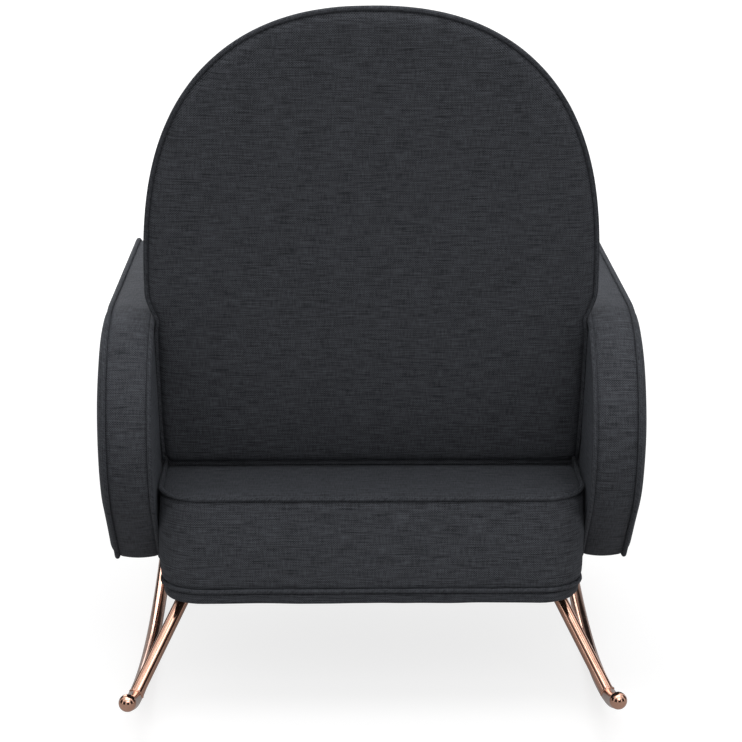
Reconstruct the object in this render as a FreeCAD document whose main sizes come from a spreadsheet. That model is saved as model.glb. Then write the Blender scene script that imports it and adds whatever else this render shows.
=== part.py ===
import FreeCAD, Part
import math
import os
import Sketcher

# Upholstered arch-back rocking chair on two tubular metal rockers.
# +Z is up, the sitter faces -Y, and +X is the sitter's left.
# The origin is on the floor, in the middle of the chair's outline.

doc = FreeCAD.newDocument("rocking_chair")
V = FreeCAD.Vector
X_AXIS = V(1, 0, 0)
Y_AXIS = V(0, 1, 0)
Z_AXIS = V(0, 0, 1)

# ---------------------------------------------------------------- driving sizes

# sizes that the others are worked out from
PIPING = 7.0
BASE_SPREAD = 312.5
BASE_FRONT = 415.0
BASE_REAR = 306.0
BASE_BOTTOM = 184.0
BASE_HIGH = 167.0
ARM_TOP = 608.0
ARM_WIDE = 65.0
BACK_RECLINE = 17.0
BACK_THICK = 112.0

# the arms stand beside the base's pipings, and the back and the cushion fit between the arms
DECK_TOP = BASE_BOTTOM + BASE_HIGH
ARM_INNER = BASE_SPREAD + 1 + PIPING / 2
ARM_OUTER = ARM_INNER + ARM_WIDE
BACK_WAIST = ARM_INNER - PIPING / 2 - 1
BACK_FOOT_Y = BASE_REAR - 154
BACK_FOOT_Z = DECK_TOP + 4
BACK_WAIST_TOP = (ARM_TOP - BACK_FOOT_Z) / math.cos(math.radians(BACK_RECLINE)) - 14.5
LEG_TOP_SPREAD = BASE_SPREAD - 40.5

SIZES = [
    # the metal rockers
    ("rail_spread", LEG_TOP_SPREAD + 77, "half the distance between the rockers' centre lines"),
    ("rail_tube", 22.0, "outer diameter of a rocker's tube"),
    ("rail_wall", 2.0, "wall of a rocker's tube"),
    ("rocker_radius", 1400.0, "radius of the rolling line on the floor"),
    ("rocker_reach", 348.5, "from the resting line to where the end bends start"),
    ("rest_line", 0.0, "Y of the line the chair rests on"),
    ("end_bend_radius", 420.0, "radius of the upturned ends"),
    ("end_bend_angle", 11.0, "turn of each upturned end"),
    ("ball_size", 25.4, "diameter of the ball ends"),
    ("spigot_length", 14.0, "ball end's plug inside the tube"),
    # the legs
    ("leg_tube", 20.0, "outer diameter of a leg"),
    ("leg_wall", 1.8, "wall of a leg"),
    ("leg_reach", BASE_REAR + 14, "from the resting line to a leg's foot"),
    ("leg_lean", 109.0, "how far a leg leans towards the middle, front to back"),
    ("leg_top_spread", LEG_TOP_SPREAD, "half the distance between the legs' tops"),
    ("plate_wide", 44.0, "leg plate across the chair"),
    ("plate_long", 70.0, "leg plate along the chair"),
    ("plate_thick", 4.0, "leg plate's thickness"),
    ("screw_wide", 5.0, "leg screw's shank"),
    ("screw_long", 28.0, "leg screw under its head"),
    ("screw_head", 9.6, "leg screw's head"),
    ("screw_head_high", 2.4, "height of a leg screw's head"),
    ("screw_across", 28.0, "between a plate's screws, across the chair"),
    ("screw_along", 48.0, "between a plate's screws, along the chair"),
    ("plate_inward", 4.0, "plate's middle inside the leg's top"),
    # the seat base
    ("base_spread", BASE_SPREAD, "half the width of the seat base"),
    ("base_front", BASE_FRONT, "front face of the base, ahead of the origin"),
    ("base_rear", BASE_REAR, "rear face of the base, behind the origin"),
    ("base_corner", 65.0, "corner radius of the base in plan"),
    ("base_bottom", BASE_BOTTOM, "underside of the base"),
    ("deck_top", DECK_TOP, "top of the deck"),
    ("roll_high", 18.0, "height of the rolled lower edge"),
    ("roll_inset", 4.0, "how far the rolled edge stands back"),
    ("wrap_thick", 13.5, "padding and cloth round the base frame"),
    ("board_thick", 22.0, "thickness of the base boards"),
    ("board_high", BASE_HIGH - 44, "height of the base boards"),
    ("board_lift", 5.0, "boards above the underside"),
    ("cross_wide", 58.0, "width of the cross rails that the legs are screwed to"),
    ("cross_high", 42.0, "height of the cross rails"),
    ("cloth_thick", 1.5, "dust cover"),
    ("piping", PIPING, "diameter of every piping"),
    ("deck_pad_thick", 30.0, "pad over the springs"),
    # the springs and their clips
    ("spring_wire", 4.0, "diameter of the spring wire"),
    ("spring_pitch", 36.0, "distance between a spring's cross runs"),
    ("spring_run", 24.0, "straight part of a cross run"),
    ("spring_gap", 118.0, "distance between springs"),
    ("clip_wide", 26.0, "spring clip across the chair"),
    ("clip_long", 16.0, "spring clip along the chair"),
    # the arms
    ("arm_inner", ARM_INNER, "inner piping's centre line from the middle"),
    ("arm_outer", ARM_OUTER, "outer piping's centre line from the middle"),
    ("arm_swell", ARM_OUTER + 9, "outer panel's face from the middle"),
    ("arm_top", ARM_TOP, "top of the arm"),
    ("arm_bottom", BASE_BOTTOM + 31, "bottom of the arm"),
    ("arm_rear", BASE_REAR + 34, "rearmost point of the arm"),
    ("arm_front", BASE_FRONT - 12, "foremost point of the arm, ahead of the origin"),
    ("arm_rear_radius", 172.0, "radius of the arm's rear curve"),
    ("arm_front_radius", 110.0, "radius of the arm's front curve"),
    ("arm_rear_slant", 45.0, "lower rear edge from upright"),
    ("arm_front_slant", 25.0, "lower front edge from upright"),
    ("arm_toe_radius", 22.0, "radius of the arm's two lower corners"),
    ("band_sink", 3.0, "band below the pipings' outer line"),
    ("band_thick", 10.5, "padding and cloth round the arm frame"),
    ("arm_pad", 15.0, "padding on the arm frame's inner face"),
    ("arm_bar", 52.0, "width of the arm frame's bars"),
    ("arm_frame_thick", 34.0, "thickness of the arm frame"),
    ("bolt_wide", 8.0, "arm bolt's shank"),
    ("bolt_head", 18.0, "arm bolt's head"),
    ("bolt_head_thick", 5.0, "thickness of the arm bolt's head"),
    ("bolt_spacing", 140.0, "distance between the arm bolts"),
    ("bolt_reach", 24.0, "arm bolt inside the arm frame"),
    ("bolt_room", 0.3, "hole round an arm bolt"),
    ("bolt_height", BASE_BOTTOM + 70, "arm bolts above the floor"),
    # the back
    ("back_recline", BACK_RECLINE, "back from upright"),
    ("back_foot_y", BACK_FOOT_Y, "foot of the back's rear face"),
    ("back_foot_z", BACK_FOOT_Z, "height of the foot of the back"),
    ("back_spread", BACK_WAIST + 14.5, "half the back's width above the arms"),
    ("back_waist", BACK_WAIST, "half the back's width between the arms"),
    ("back_waist_top", BACK_WAIST_TOP, "up the back, where it starts to widen"),
    ("back_flare", 60.0, "length over which the back widens"),
    ("arch_start", 260.0, "up the back, where the arch starts"),
    ("arch_rise", 480.0, "height of the arch"),
    ("arch_up_power", 2.9, "fullness of the arch up the back, 2 is an ellipse"),
    ("arch_across_power", 2.3, "fullness of the arch across the back"),
    ("back_thick", BACK_THICK, "from the piping to the front face"),
    ("back_taper", 56.0, "how much smaller the front face is all round"),
    ("back_rear_crown", 11.0, "rear pad behind the piping"),
    ("back_frame_inset", 34.0, "back frame inside the outline"),
    ("back_frame_bar", 60.0, "width of the back frame's bar"),
    ("back_frame_thick", 22.0, "thickness of the back frame"),
    ("post_wide", 26.0, "back post across the chair"),
    ("post_deep", 40.0, "back post front to back"),
    ("post_drop", 150.0, "back post below the foot of the back"),
    ("post_rise", 400.0, "back post above the foot of the back"),
    ("lumbar_height", 60.0, "underside of the lumbar rail, up the back"),
    ("lumbar_wide", 70.0, "width of the lumbar rail"),
    ("lumbar_thick", 22.0, "thickness of the lumbar rail"),
    ("strap_wide", 50.0, "width of a back strap"),
    ("strap_pitch", 98.0, "distance between back straps"),
    ("strap_start", 165.0, "middle of the lowest back strap, up the back"),
    ("strap_thick", 1.6, "thickness of a back strap"),
    ("strap_lap", 14.0, "back strap over the frame's bar"),
    # the loose seat cushion
    ("cushion_spread", ARM_INNER - PIPING / 2 - 8.5, "half the cushion's width"),
    ("cushion_front", BASE_FRONT + 17, "front of the cushion, ahead of the origin"),
    ("cushion_rear", BACK_FOOT_Y - BACK_THICK - 17, "rear of the cushion, behind the origin"),
    ("cushion_high", 114.0, "height of the cushion"),
    ("cushion_corner", 55.0, "front corner radius of the cushion"),
    ("zip_long", 440.0, "length of the zip"),
    ("zip_high", 12.0, "height of the zip's tape"),
    ("zip_thick", 1.6, "thickness of the zip's teeth and tape"),
    ("slider_long", 12.0, "length of the zip's slider"),
    # clearances
    ("gap", 0.5, "between neighbouring fixed pieces"),
    ("loose_gap", 1.5, "between the cushion and the fixed chair"),
    ("zip_slot_deep", 2.4, "back of the zip's slot behind its tape"),
    ("room", 1200.0, "side of a cutting block, larger than the chair"),
]

sheet = doc.addObject("Spreadsheet::Sheet", "sizes")
for row, (alias, value, note) in enumerate(SIZES, start=1):
    sheet.set(f"A{row}", alias)
    sheet.set(f"B{row}", str(value))
    sheet.set(f"C{row}", note)
    sheet.setAlias(f"B{row}", alias)
doc.recompute()


def size(alias):
    """The value of one cell of the sheet."""
    return float(getattr(sheet, alias))


def cells(expression):
    """An expression in plain aliases, rewritten to name the sheet's cells."""
    for alias, _value, _note in sorted(SIZES, key=lambda entry: -len(entry[0])):
        expression = expression.replace("$" + alias, "sizes." + alias)
    return expression


def value_of(expression):
    """The number that an expression in aliases comes to."""
    return float(sheet.evalExpression(cells(expression)))


def bind(thing, **expressions):
    """Tie properties to the sheet; a double underscore stands for a dot."""
    for name, expression in expressions.items():
        thing.setExpression(name.replace("__", "."), cells(expression))
    return thing


def place(thing, x="0", y="0", z="0"):
    """Tie a piece's position to the sheet."""
    bind(thing, Placement__Base__x=x, Placement__Base__y=y, Placement__Base__z=z)
    return thing


kept = []


def keep(thing, label):
    """Give a finished sub-part its node name."""
    thing.Label = label
    kept.append(thing)
    return thing


def add(kind, name):
    return doc.addObject(kind, name)


def cut(name, base, tool):
    result = add("Part::Cut", name)
    result.Base = base
    result.Tool = tool
    return result


def common(name, base, tool):
    result = add("Part::Common", name)
    result.Base = base
    result.Tool = tool
    return result


def fuse(name, pieces):
    result = add("Part::MultiFuse", name)
    result.Shapes = pieces
    return result


def group(name, pieces):
    """Separate solids that share one node."""
    result = add("Part::Compound", name)
    result.Links = pieces
    return result


def mirrored(source, label):
    """The right-hand twin of a left-hand piece."""
    twin = add("Part::Mirroring", label + "_twin")
    twin.Source = source
    twin.Normal = X_AXIS
    return keep(twin, label)


def box(name, length, width, height, x="0", y="0", z="0"):
    solid = add("Part::Box", name)
    bind(solid, Length=length, Width=width, Height=height)
    return place(solid, x, y, z)


def cylinder_x(name, radius, length, x, y, z):
    """A cylinder along +X."""
    solid = add("Part::Cylinder", name)
    solid.Placement.Rotation = FreeCAD.Rotation(Y_AXIS, 90)
    bind(solid, Radius=radius, Height=length)
    return place(solid, x, y, z)


def solid_feature(name, shape, placement=None):
    """A sub-part whose outline follows a formula that no sketch can hold."""
    feature = add("Part::Feature", name)
    feature.Shape = shape
    if placement is not None:
        feature.Placement = placement
    return feature


# ---------------------------------------------------------------- sketches

def tangent_loop(sketch, count):
    """Join a loop of geometry end to start, each joint smooth."""
    for index in range(count):
        following = (index + 1) % count
        sketch.addConstraint(Sketcher.Constraint("Tangent", index, 2, following, 1))


def rounded_rectangle(name, half_width, front, rear, radius):
    """A plan outline, symmetric about the Y axis, drawn counter-clockwise."""
    half, near, far, turn = [value_of(text) for text in (half_width, front, rear, radius)]
    sketch = add("Sketcher::SketchObject", name)
    corners = [(half, -near, -90), (half, far, 0), (-half, far, 90), (-half, -near, 180)]
    for x, y, start in corners:
        centre = V(x - math.copysign(turn, x), y - math.copysign(turn, y), 0)
        circle = Part.Circle(centre, Z_AXIS, turn)
        begin = math.radians(start)
        sketch.addGeometry(Part.ArcOfCircle(circle, begin, begin + math.pi / 2))
    arcs = [sketch.Geometry[index] for index in range(4)]
    for index in range(4):
        after = arcs[(index + 1) % 4]
        sketch.addGeometry(Part.LineSegment(arcs[index].EndPoint, after.StartPoint))
    for index in range(4):
        line = 4 + index
        sketch.addConstraint(Sketcher.Constraint("Tangent", index, 2, line, 1))
        sketch.addConstraint(Sketcher.Constraint("Tangent", line, 2, (index + 1) % 4, 1))
    for index in range(1, 4):
        sketch.addConstraint(Sketcher.Constraint("Equal", 0, index))
    sketch.addConstraint(Sketcher.Constraint("Vertical", 4))
    sketch.addConstraint(Sketcher.Constraint("Horizontal", 5))
    measures = [
        ("turn", Sketcher.Constraint("Radius", 0, turn), radius),
        ("right", Sketcher.Constraint("DistanceX", -1, 1, 4, 1, half), half_width),
        ("left", Sketcher.Constraint("DistanceX", 6, 1, -1, 1, half), half_width),
        ("rear", Sketcher.Constraint("DistanceY", -1, 1, 5, 1, far), rear),
        ("front", Sketcher.Constraint("DistanceY", 7, 1, -1, 1, near), front),
    ]
    for label, constraint, expression in measures:
        index = sketch.addConstraint(constraint)
        sketch.renameConstraint(index, label)
        sketch.setExpression("Constraints." + label, cells(expression))
    return sketch


def extrusion(name, profile, height, direction=Z_AXIS):
    solid = add("Part::Extrusion", name)
    solid.Base = profile
    solid.DirMode = "Custom"
    solid.Dir = direction
    solid.Solid = True
    bind(solid, LengthFwd=height)
    return solid


def rounded_block(name, half_width, front, rear, radius, bottom, height):
    outline = rounded_rectangle(name + "_outline", half_width, front, rear, radius)
    place(outline, z=bottom)
    return extrusion(name, outline, height)


def sweep(name, spine, section):
    solid = add("Part::Sweep", name)
    solid.Sections = [section]
    edges = [f"Edge{index + 1}" for index in range(len(spine.Shape.Edges))]
    solid.Spine = (spine, edges)
    solid.Solid = True
    solid.Frenet = False
    return solid


def piping_ring(name, half_width, front, rear, radius, height):
    """A round piping that follows a plan outline."""
    inset = "$piping / 2"
    sides = [f"{text} - {inset}" for text in (half_width, front, rear, radius)]
    path = rounded_rectangle(name + "_path", *sides)
    place(path, z=height)
    section = add("Part::Circle", name + "_section")
    section.Placement.Rotation = FreeCAD.Rotation(X_AXIS, 90)
    bind(section, Radius="$piping / 2")
    place(section, x=f"{half_width} - {inset}", y=f"({rear} - {front}) / 2", z=height)
    doc.recompute()
    return sweep(name, path, section)


# ---------------------------------------------------------------- metal rockers

RAIL_AXIS_RADIUS = "($rocker_radius - $rail_tube / 2)"
rail_axis_radius = value_of(RAIL_AXIS_RADIUS)
rocker_radius = size("rocker_radius")
rail_spread = size("rail_spread")
rest_line = size("rest_line")
bend_start = math.asin(size("rocker_reach") / rail_axis_radius)
bend_end = bend_start + math.radians(size("end_bend_angle"))
bend_radius = size("end_bend_radius")


def rail_point(angle):
    """A point (Y, Z) on the main arc's centre line; the angle is from its lowest point."""
    return (rest_line + rail_axis_radius * math.sin(angle),
            rocker_radius - rail_axis_radius * math.cos(angle))


def bend_centre(end):
    """The centre (Y, Z) of an upturned end's bend."""
    y, z = rail_point(end * bend_start)
    return (y - end * bend_radius * math.sin(bend_start), z + bend_radius * math.cos(bend_start))


def rail_tip(end):
    """Where the tube stops, and the angle of its centre line there."""
    y, z = bend_centre(end)
    return (y + end * bend_radius * math.sin(bend_end), z - bend_radius * math.cos(bend_end))


def arc_tube(name, radius, tube_radius, centre, low, high):
    """A bent tube in an upright fore-and-aft plane; angles run from straight down towards +Y."""
    solid = add("Part::Torus", name)
    bind(solid, Radius1=radius, Radius2=tube_radius)
    solid.Angle3 = math.degrees(high - low)
    start = V(0, math.sin(low), -math.cos(low))
    side = X_AXIS.cross(start)
    turn = FreeCAD.Rotation(start, side, X_AXIS, "ZXY")
    solid.Placement = FreeCAD.Placement(V(rail_spread, centre[0], centre[1]), turn)
    return solid


def rail_solid(name, tube_radius):
    middle = arc_tube(name + "_middle", RAIL_AXIS_RADIUS, tube_radius,
                      (rest_line, rocker_radius), -bend_start, bend_start)
    rear = arc_tube(name + "_rear", "$end_bend_radius", tube_radius,
                    bend_centre(1), bend_start, bend_end)
    front = arc_tube(name + "_front", "$end_bend_radius", tube_radius,
                     bend_centre(-1), -bend_end, -bend_start)
    return fuse(name, [middle, rear, front])


rail_outer = rail_solid("rail_outside", "$rail_tube / 2")
rail_bore = rail_solid("rail_inside", "$rail_tube / 2 - $rail_wall")
rail = keep(cut("rail", rail_outer, rail_bore), "rocker_rail_left")
mirrored(rail, "rocker_rail_right")

for end, word in ((1, "rear"), (-1, "front")):
    tip_y, tip_z = rail_tip(end)
    outward = V(0, end * math.cos(bend_end), math.sin(bend_end))
    turn = FreeCAD.Rotation(Z_AXIS, outward)
    ball = add("Part::Sphere", f"{word}_ball_head")
    bind(ball, Radius="$ball_size / 2", Angle1="-acos($rail_tube / $ball_size)")
    to_centre = math.sqrt(size("ball_size") ** 2 - size("rail_tube") ** 2) / 2
    tip = V(rail_spread, tip_y, tip_z)
    ball.Placement = FreeCAD.Placement(tip + outward * to_centre, turn)
    spigot = add("Part::Cylinder", f"{word}_ball_spigot")
    bind(spigot, Radius="$rail_tube / 2 - $rail_wall - 0.2", Height="$spigot_length")
    spigot.Placement = FreeCAD.Placement(tip - outward * size("spigot_length"), turn)
    finished = keep(fuse(f"{word}_ball", [ball, spigot]), f"ball_end_{word}_left")
    mirrored(finished, f"ball_end_{word}_right")

# ---------------------------------------------------------------- legs and their plates

plate_top = size("base_bottom") + size("board_lift") - size("cloth_thick") - 0.1
plate_bottom = plate_top - size("plate_thick")
leg_angle = math.asin(size("leg_reach") / rail_axis_radius)
shank_tools = []
screws = []

for end, word in ((1, "rear"), (-1, "front")):
    foot_y, foot_z = rail_point(end * leg_angle)
    foot = V(rail_spread, foot_y, foot_z)
    top = V(size("leg_top_spread"), foot_y - end * size("leg_lean"), plate_bottom)
    along = top - foot
    turn = FreeCAD.Rotation(Z_AXIS, along)
    overshoot = size("leg_tube")
    outside = add("Part::Cylinder", f"{word}_leg_outside")
    inside = add("Part::Cylinder", f"{word}_leg_inside")
    bind(outside, Radius="$leg_tube / 2")
    bind(inside, Radius="$leg_tube / 2 - $leg_wall")
    for solid in (outside, inside):
        solid.Height = along.Length + overshoot
        solid.Placement = FreeCAD.Placement(foot, turn)
    tube = cut(f"{word}_leg_tube", outside, inside)
    room = box(f"{word}_leg_room", "$room", "$room", f"{plate_bottom}",
               x="0", y=f"{foot_y - end * size('leg_lean') / 2} - $room / 2", z="0")
    cropped = common(f"{word}_leg_cropped", tube, room)
    leg = keep(cut(f"{word}_leg", cropped, rail_outer), f"leg_{word}_left")
    mirrored(leg, f"leg_{word}_right")

    plate_x = size("leg_top_spread") - size("plate_inward")
    plate_y = top.y
    plate = add("Part::Box", f"{word}_plate_blank")
    bind(plate, Length="$plate_wide", Width="$plate_long", Height="$plate_thick")
    corner = V(plate_x - size("plate_wide") / 2, plate_y - size("plate_long") / 2, plate_bottom)
    plate.Placement.Base = corner
    holes = []
    for step_x in (-1, 1):
        for step_y in (-1, 1):
            x = plate_x + step_x * size("screw_across") / 2
            y = plate_y + step_y * size("screw_along") / 2
            tag = f"{word}_{len(holes)}"
            hole = add("Part::Cylinder", "plate_hole_" + tag)
            bind(hole, Radius="$screw_wide / 2 + 0.2", Height="$plate_thick + 2")
            hole.Placement.Base = V(x, y, plate_bottom - 1)
            holes.append(hole)
            head = add("Part::Cone", "screw_head_" + tag)
            bind(head, Radius1="$screw_head / 2 - 1.2", Radius2="$screw_head / 2",
                 Height="$screw_head_high")
            head.Placement.Base = V(x, y, plate_bottom - size("screw_head_high"))
            shank = add("Part::Cylinder", "screw_shank_" + tag)
            bind(shank, Radius="$screw_wide / 2", Height="$screw_long")
            shank.Placement.Base = V(x, y, plate_bottom - 0.5)
            shank_tools.append(shank)
            screws.append(fuse("screw_" + tag, [head, shank]))
    drilled = cut(f"{word}_plate", plate, fuse(f"{word}_plate_holes", holes))
    keep(drilled, f"leg_plate_{word}_left")
    mirrored(drilled, f"leg_plate_{word}_right")

screws_left = group("screws_left", screws)
screws_right = add("Part::Mirroring", "screws_right")
screws_right.Source = screws_left
screws_right.Normal = X_AXIS
keep(group("leg_screws", [screws_left, screws_right]), "leg_plate_screws")
shanks_left = group("shanks_left", shank_tools)
shanks_right = add("Part::Mirroring", "shanks_right")
shanks_right.Source = shanks_left
shanks_right.Normal = X_AXIS
screw_holes = group("screw_holes", [shanks_left, shanks_right])

# ---------------------------------------------------------------- arm bolts, used as tools too

SIDE_BOARD_INNER = "($base_spread - $wrap_thick - $board_thick)"
ARM_FRAME_INNER = "($arm_inner + 1.5 + $arm_pad + $gap)"
bolt_rows = [-1, 0, 1]
BOLT_MIDDLE = "($arm_rear - $arm_front) / 2 - 10"


def bolt_tools(name, radius):
    """Three rods through the side board into the arm frame."""
    rods = []
    for step in bolt_rows:
        rods.append(cylinder_x(f"{name}_{step + 1}", radius,
                               f"{ARM_FRAME_INNER} + $bolt_reach - {SIDE_BOARD_INNER}",
                               SIDE_BOARD_INNER, f"{BOLT_MIDDLE} + {step} * $bolt_spacing",
                               "$bolt_height"))
    return fuse(name, rods)


bolt_shanks = bolt_tools("bolt_shanks", "$bolt_wide / 2")
bolt_holes = bolt_tools("bolt_holes", "$bolt_wide / 2 + $bolt_room")
bolt_heads = []
for step in bolt_rows:
    bolt_heads.append(cylinder_x(f"bolt_head_{step + 1}", "$bolt_head / 2",
                                 "$bolt_head_thick",
                                 f"{SIDE_BOARD_INNER} - $bolt_head_thick - 0.05",
                                 f"{BOLT_MIDDLE} + {step} * $bolt_spacing", "$bolt_height"))
bolts = fuse("bolts", [bolt_shanks] + bolt_heads)
bolts_twin = add("Part::Mirroring", "bolts_twin")
bolts_twin.Source = bolts
bolts_twin.Normal = X_AXIS
keep(group("all_bolts", [bolts, bolts_twin]), "arm_bolts")
holes_twin = add("Part::Mirroring", "holes_twin")
holes_twin.Source = bolt_holes
holes_twin.Normal = X_AXIS

# ---------------------------------------------------------------- seat base

BOARD_BOTTOM = "($base_bottom + $board_lift)"
BOARD_TOP = "($base_bottom + $board_lift + $board_high)"
FRAME_OUT = "($wrap_thick)"
FRAME_IN = "($wrap_thick + $board_thick)"


def base_block(name, inset, bottom, height):
    """A block with the base's plan outline, drawn in by an inset."""
    return rounded_block(name, f"$base_spread - {inset}", f"$base_front - {inset}",
                         f"$base_rear - {inset}", f"$base_corner - {inset}", bottom, height)


ring_out = base_block("board_ring_out", FRAME_OUT, BOARD_BOTTOM, "$board_high")
ring_in = base_block("board_ring_in", FRAME_IN, BOARD_BOTTOM + " - 1", "$board_high + 2")
board_ring = cut("board_ring", ring_out, ring_in)

FRONT_JOINT = "(-$base_front + $base_corner)"
REAR_JOINT = "($base_rear - $base_corner)"
# blocks that split the ring of boards, all larger than the chair
front_room = box("front_board_room", "2 * $room", "$room", "$room", x="-$room",
                 y=f"{FRONT_JOINT} - $room", z="0")
rear_room = box("rear_board_room", "2 * $room", "$room", "$room", x="-$room", y=REAR_JOINT,
                z="0")
side_room = box("side_board_room", "$room", f"{REAR_JOINT} - {FRONT_JOINT}", "$room",
                x="0", y=FRONT_JOINT, z="0")
keep(common("front_board", board_ring, front_room), "base_front_board")
keep(common("rear_board", board_ring, rear_room), "base_rear_board")
side_blank = common("side_board_blank", board_ring, side_room)
side_board = keep(cut("side_board", side_blank, bolt_holes), "base_side_board_left")
mirrored(side_board, "base_side_board_right")

# cross rails between the side boards, which the legs are screwed to
CROSS_HALF = f"({SIDE_BOARD_INNER} - $gap)"
for end, word in ((1, "rear"), (-1, "front")):
    middle = f"{end} * ($leg_reach - $leg_lean) + $rest_line"
    rail_box = box(f"{word}_cross", f"2 * {CROSS_HALF}", "$cross_wide", "$cross_high",
                   x=f"-{CROSS_HALF}", y=f"{middle} - $cross_wide / 2", z=BOARD_BOTTOM)
    keep(rail_box, f"base_cross_rail_{word}")

COVER_BOTTOM = "($base_bottom + $roll_high + $piping + 2 * $gap)"
COVER_TOP = "($deck_top - $piping - $gap)"
cover_out = base_block("cover_out", "0", COVER_BOTTOM, f"{COVER_TOP} - {COVER_BOTTOM}")
cover_in = base_block("cover_in", "($wrap_thick - $gap)", f"{COVER_BOTTOM} - 1",
                      f"{COVER_TOP} - {COVER_BOTTOM} + 2")
cover = cut("cover_ring", cover_out, cover_in)
cover = cut("cover_drilled_left", cover, bolt_holes)
keep(cut("cover_drilled", cover, holes_twin), "base_cover")

roll_out = base_block("roll_out", "$roll_inset", "$base_bottom", "$roll_high")
roll_in = base_block("roll_in", "($wrap_thick - $gap)", "$base_bottom - 1", "$roll_high + 2")
keep(cut("lower_roll", roll_out, roll_in), "base_lower_roll")

for word, height in (("lower", "$base_bottom + $roll_high + $gap + $piping / 2"),
                     ("upper", "$deck_top - $piping / 2")):
    ring = piping_ring(f"base_piping_{word}_ring", "($base_spread + 1)", "($base_front + 1)",
                       "($base_rear + 1)", "($base_corner + 1)", height)
    keep(ring, f"base_piping_{word}")

dust_sheet = base_block("dust_sheet", "($wrap_thick + 1)",
                        f"{BOARD_BOTTOM} - $cloth_thick - 0.05", "$cloth_thick")
keep(cut("dust_cover_pierced", dust_sheet, screw_holes), "dust_cover")

# ---------------------------------------------------------------- springs and deck

SPRING_TOP = "($deck_top - $deck_pad_thick - 2)"
spring_z = value_of(f"{SPRING_TOP} - $spring_wire / 2")
spring_rear = value_of("$base_rear - $wrap_thick - $board_thick / 2")
spring_front = -value_of("$base_front - $wrap_thick - $board_thick / 2")
half_run = size("spring_run") / 2
turn_radius = size("spring_pitch") / 2
turns = int((spring_rear - spring_front) // size("spring_pitch"))
first_y = (spring_rear + spring_front - turns * size("spring_pitch")) / 2
SPRING_COUNT = 4


def spring_path(middle):
    """A flat zigzag: cross runs joined by half circles, front to rear."""
    edges = []
    for turn in range(turns + 1):
        y = first_y + turn * size("spring_pitch")
        way = 1 if turn % 2 == 0 else -1
        start = V(middle - way * half_run, y, spring_z)
        finish = V(middle + way * half_run, y, spring_z)
        edges.append(Part.makeLine(start, finish))
        if turn < turns:
            far = V(middle + way * (half_run + turn_radius), y + turn_radius, spring_z)
            rise = V(middle + way * half_run, y + 2 * turn_radius, spring_z)
            edges.append(Part.Arc(finish, far, rise).toShape())
    return Part.Wire(edges)


clips = []
for number in range(SPRING_COUNT):
    middle = (number - (SPRING_COUNT - 1) / 2) * size("spring_gap")
    path = spring_path(middle)
    start = path.Edges[0].valueAt(path.Edges[0].FirstParameter)
    ring = Part.Circle(start, X_AXIS, size("spring_wire") / 2).toShape()
    wire = path.makePipeShell([Part.Wire(ring)], True, False)
    keep(solid_feature(f"spring_{number + 1}_wire", wire), f"seat_spring_{number + 1}")
    for y in (first_y, first_y + turns * size("spring_pitch")):
        tag = f"{number}_{'rear' if y > 0 else 'front'}"
        clip = box("clip_" + tag, "$clip_wide", "$clip_long", f"{SPRING_TOP} - {BOARD_TOP} + 2",
                   x=f"{middle} - $clip_wide / 2", y=f"{y} - $clip_long / 2", z=BOARD_TOP)
        groove = cylinder_x("clip_groove_" + tag, "$spring_wire / 2 + 0.05", "$clip_wide + 4",
                            f"{middle} - $clip_wide / 2 - 2", f"{y}", f"{spring_z}")
        clips.append(cut("clip_grooved_" + tag, clip, groove))
keep(group("clips", clips), "spring_clips")

# ---------------------------------------------------------------- arms

SHARPEST_TOE = "4"
# the sketch's X and Y become the chair's Y and Z
SIDE_TURN = FreeCAD.Rotation(Y_AXIS, Z_AXIS, X_AXIS, "ZXY")


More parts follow.
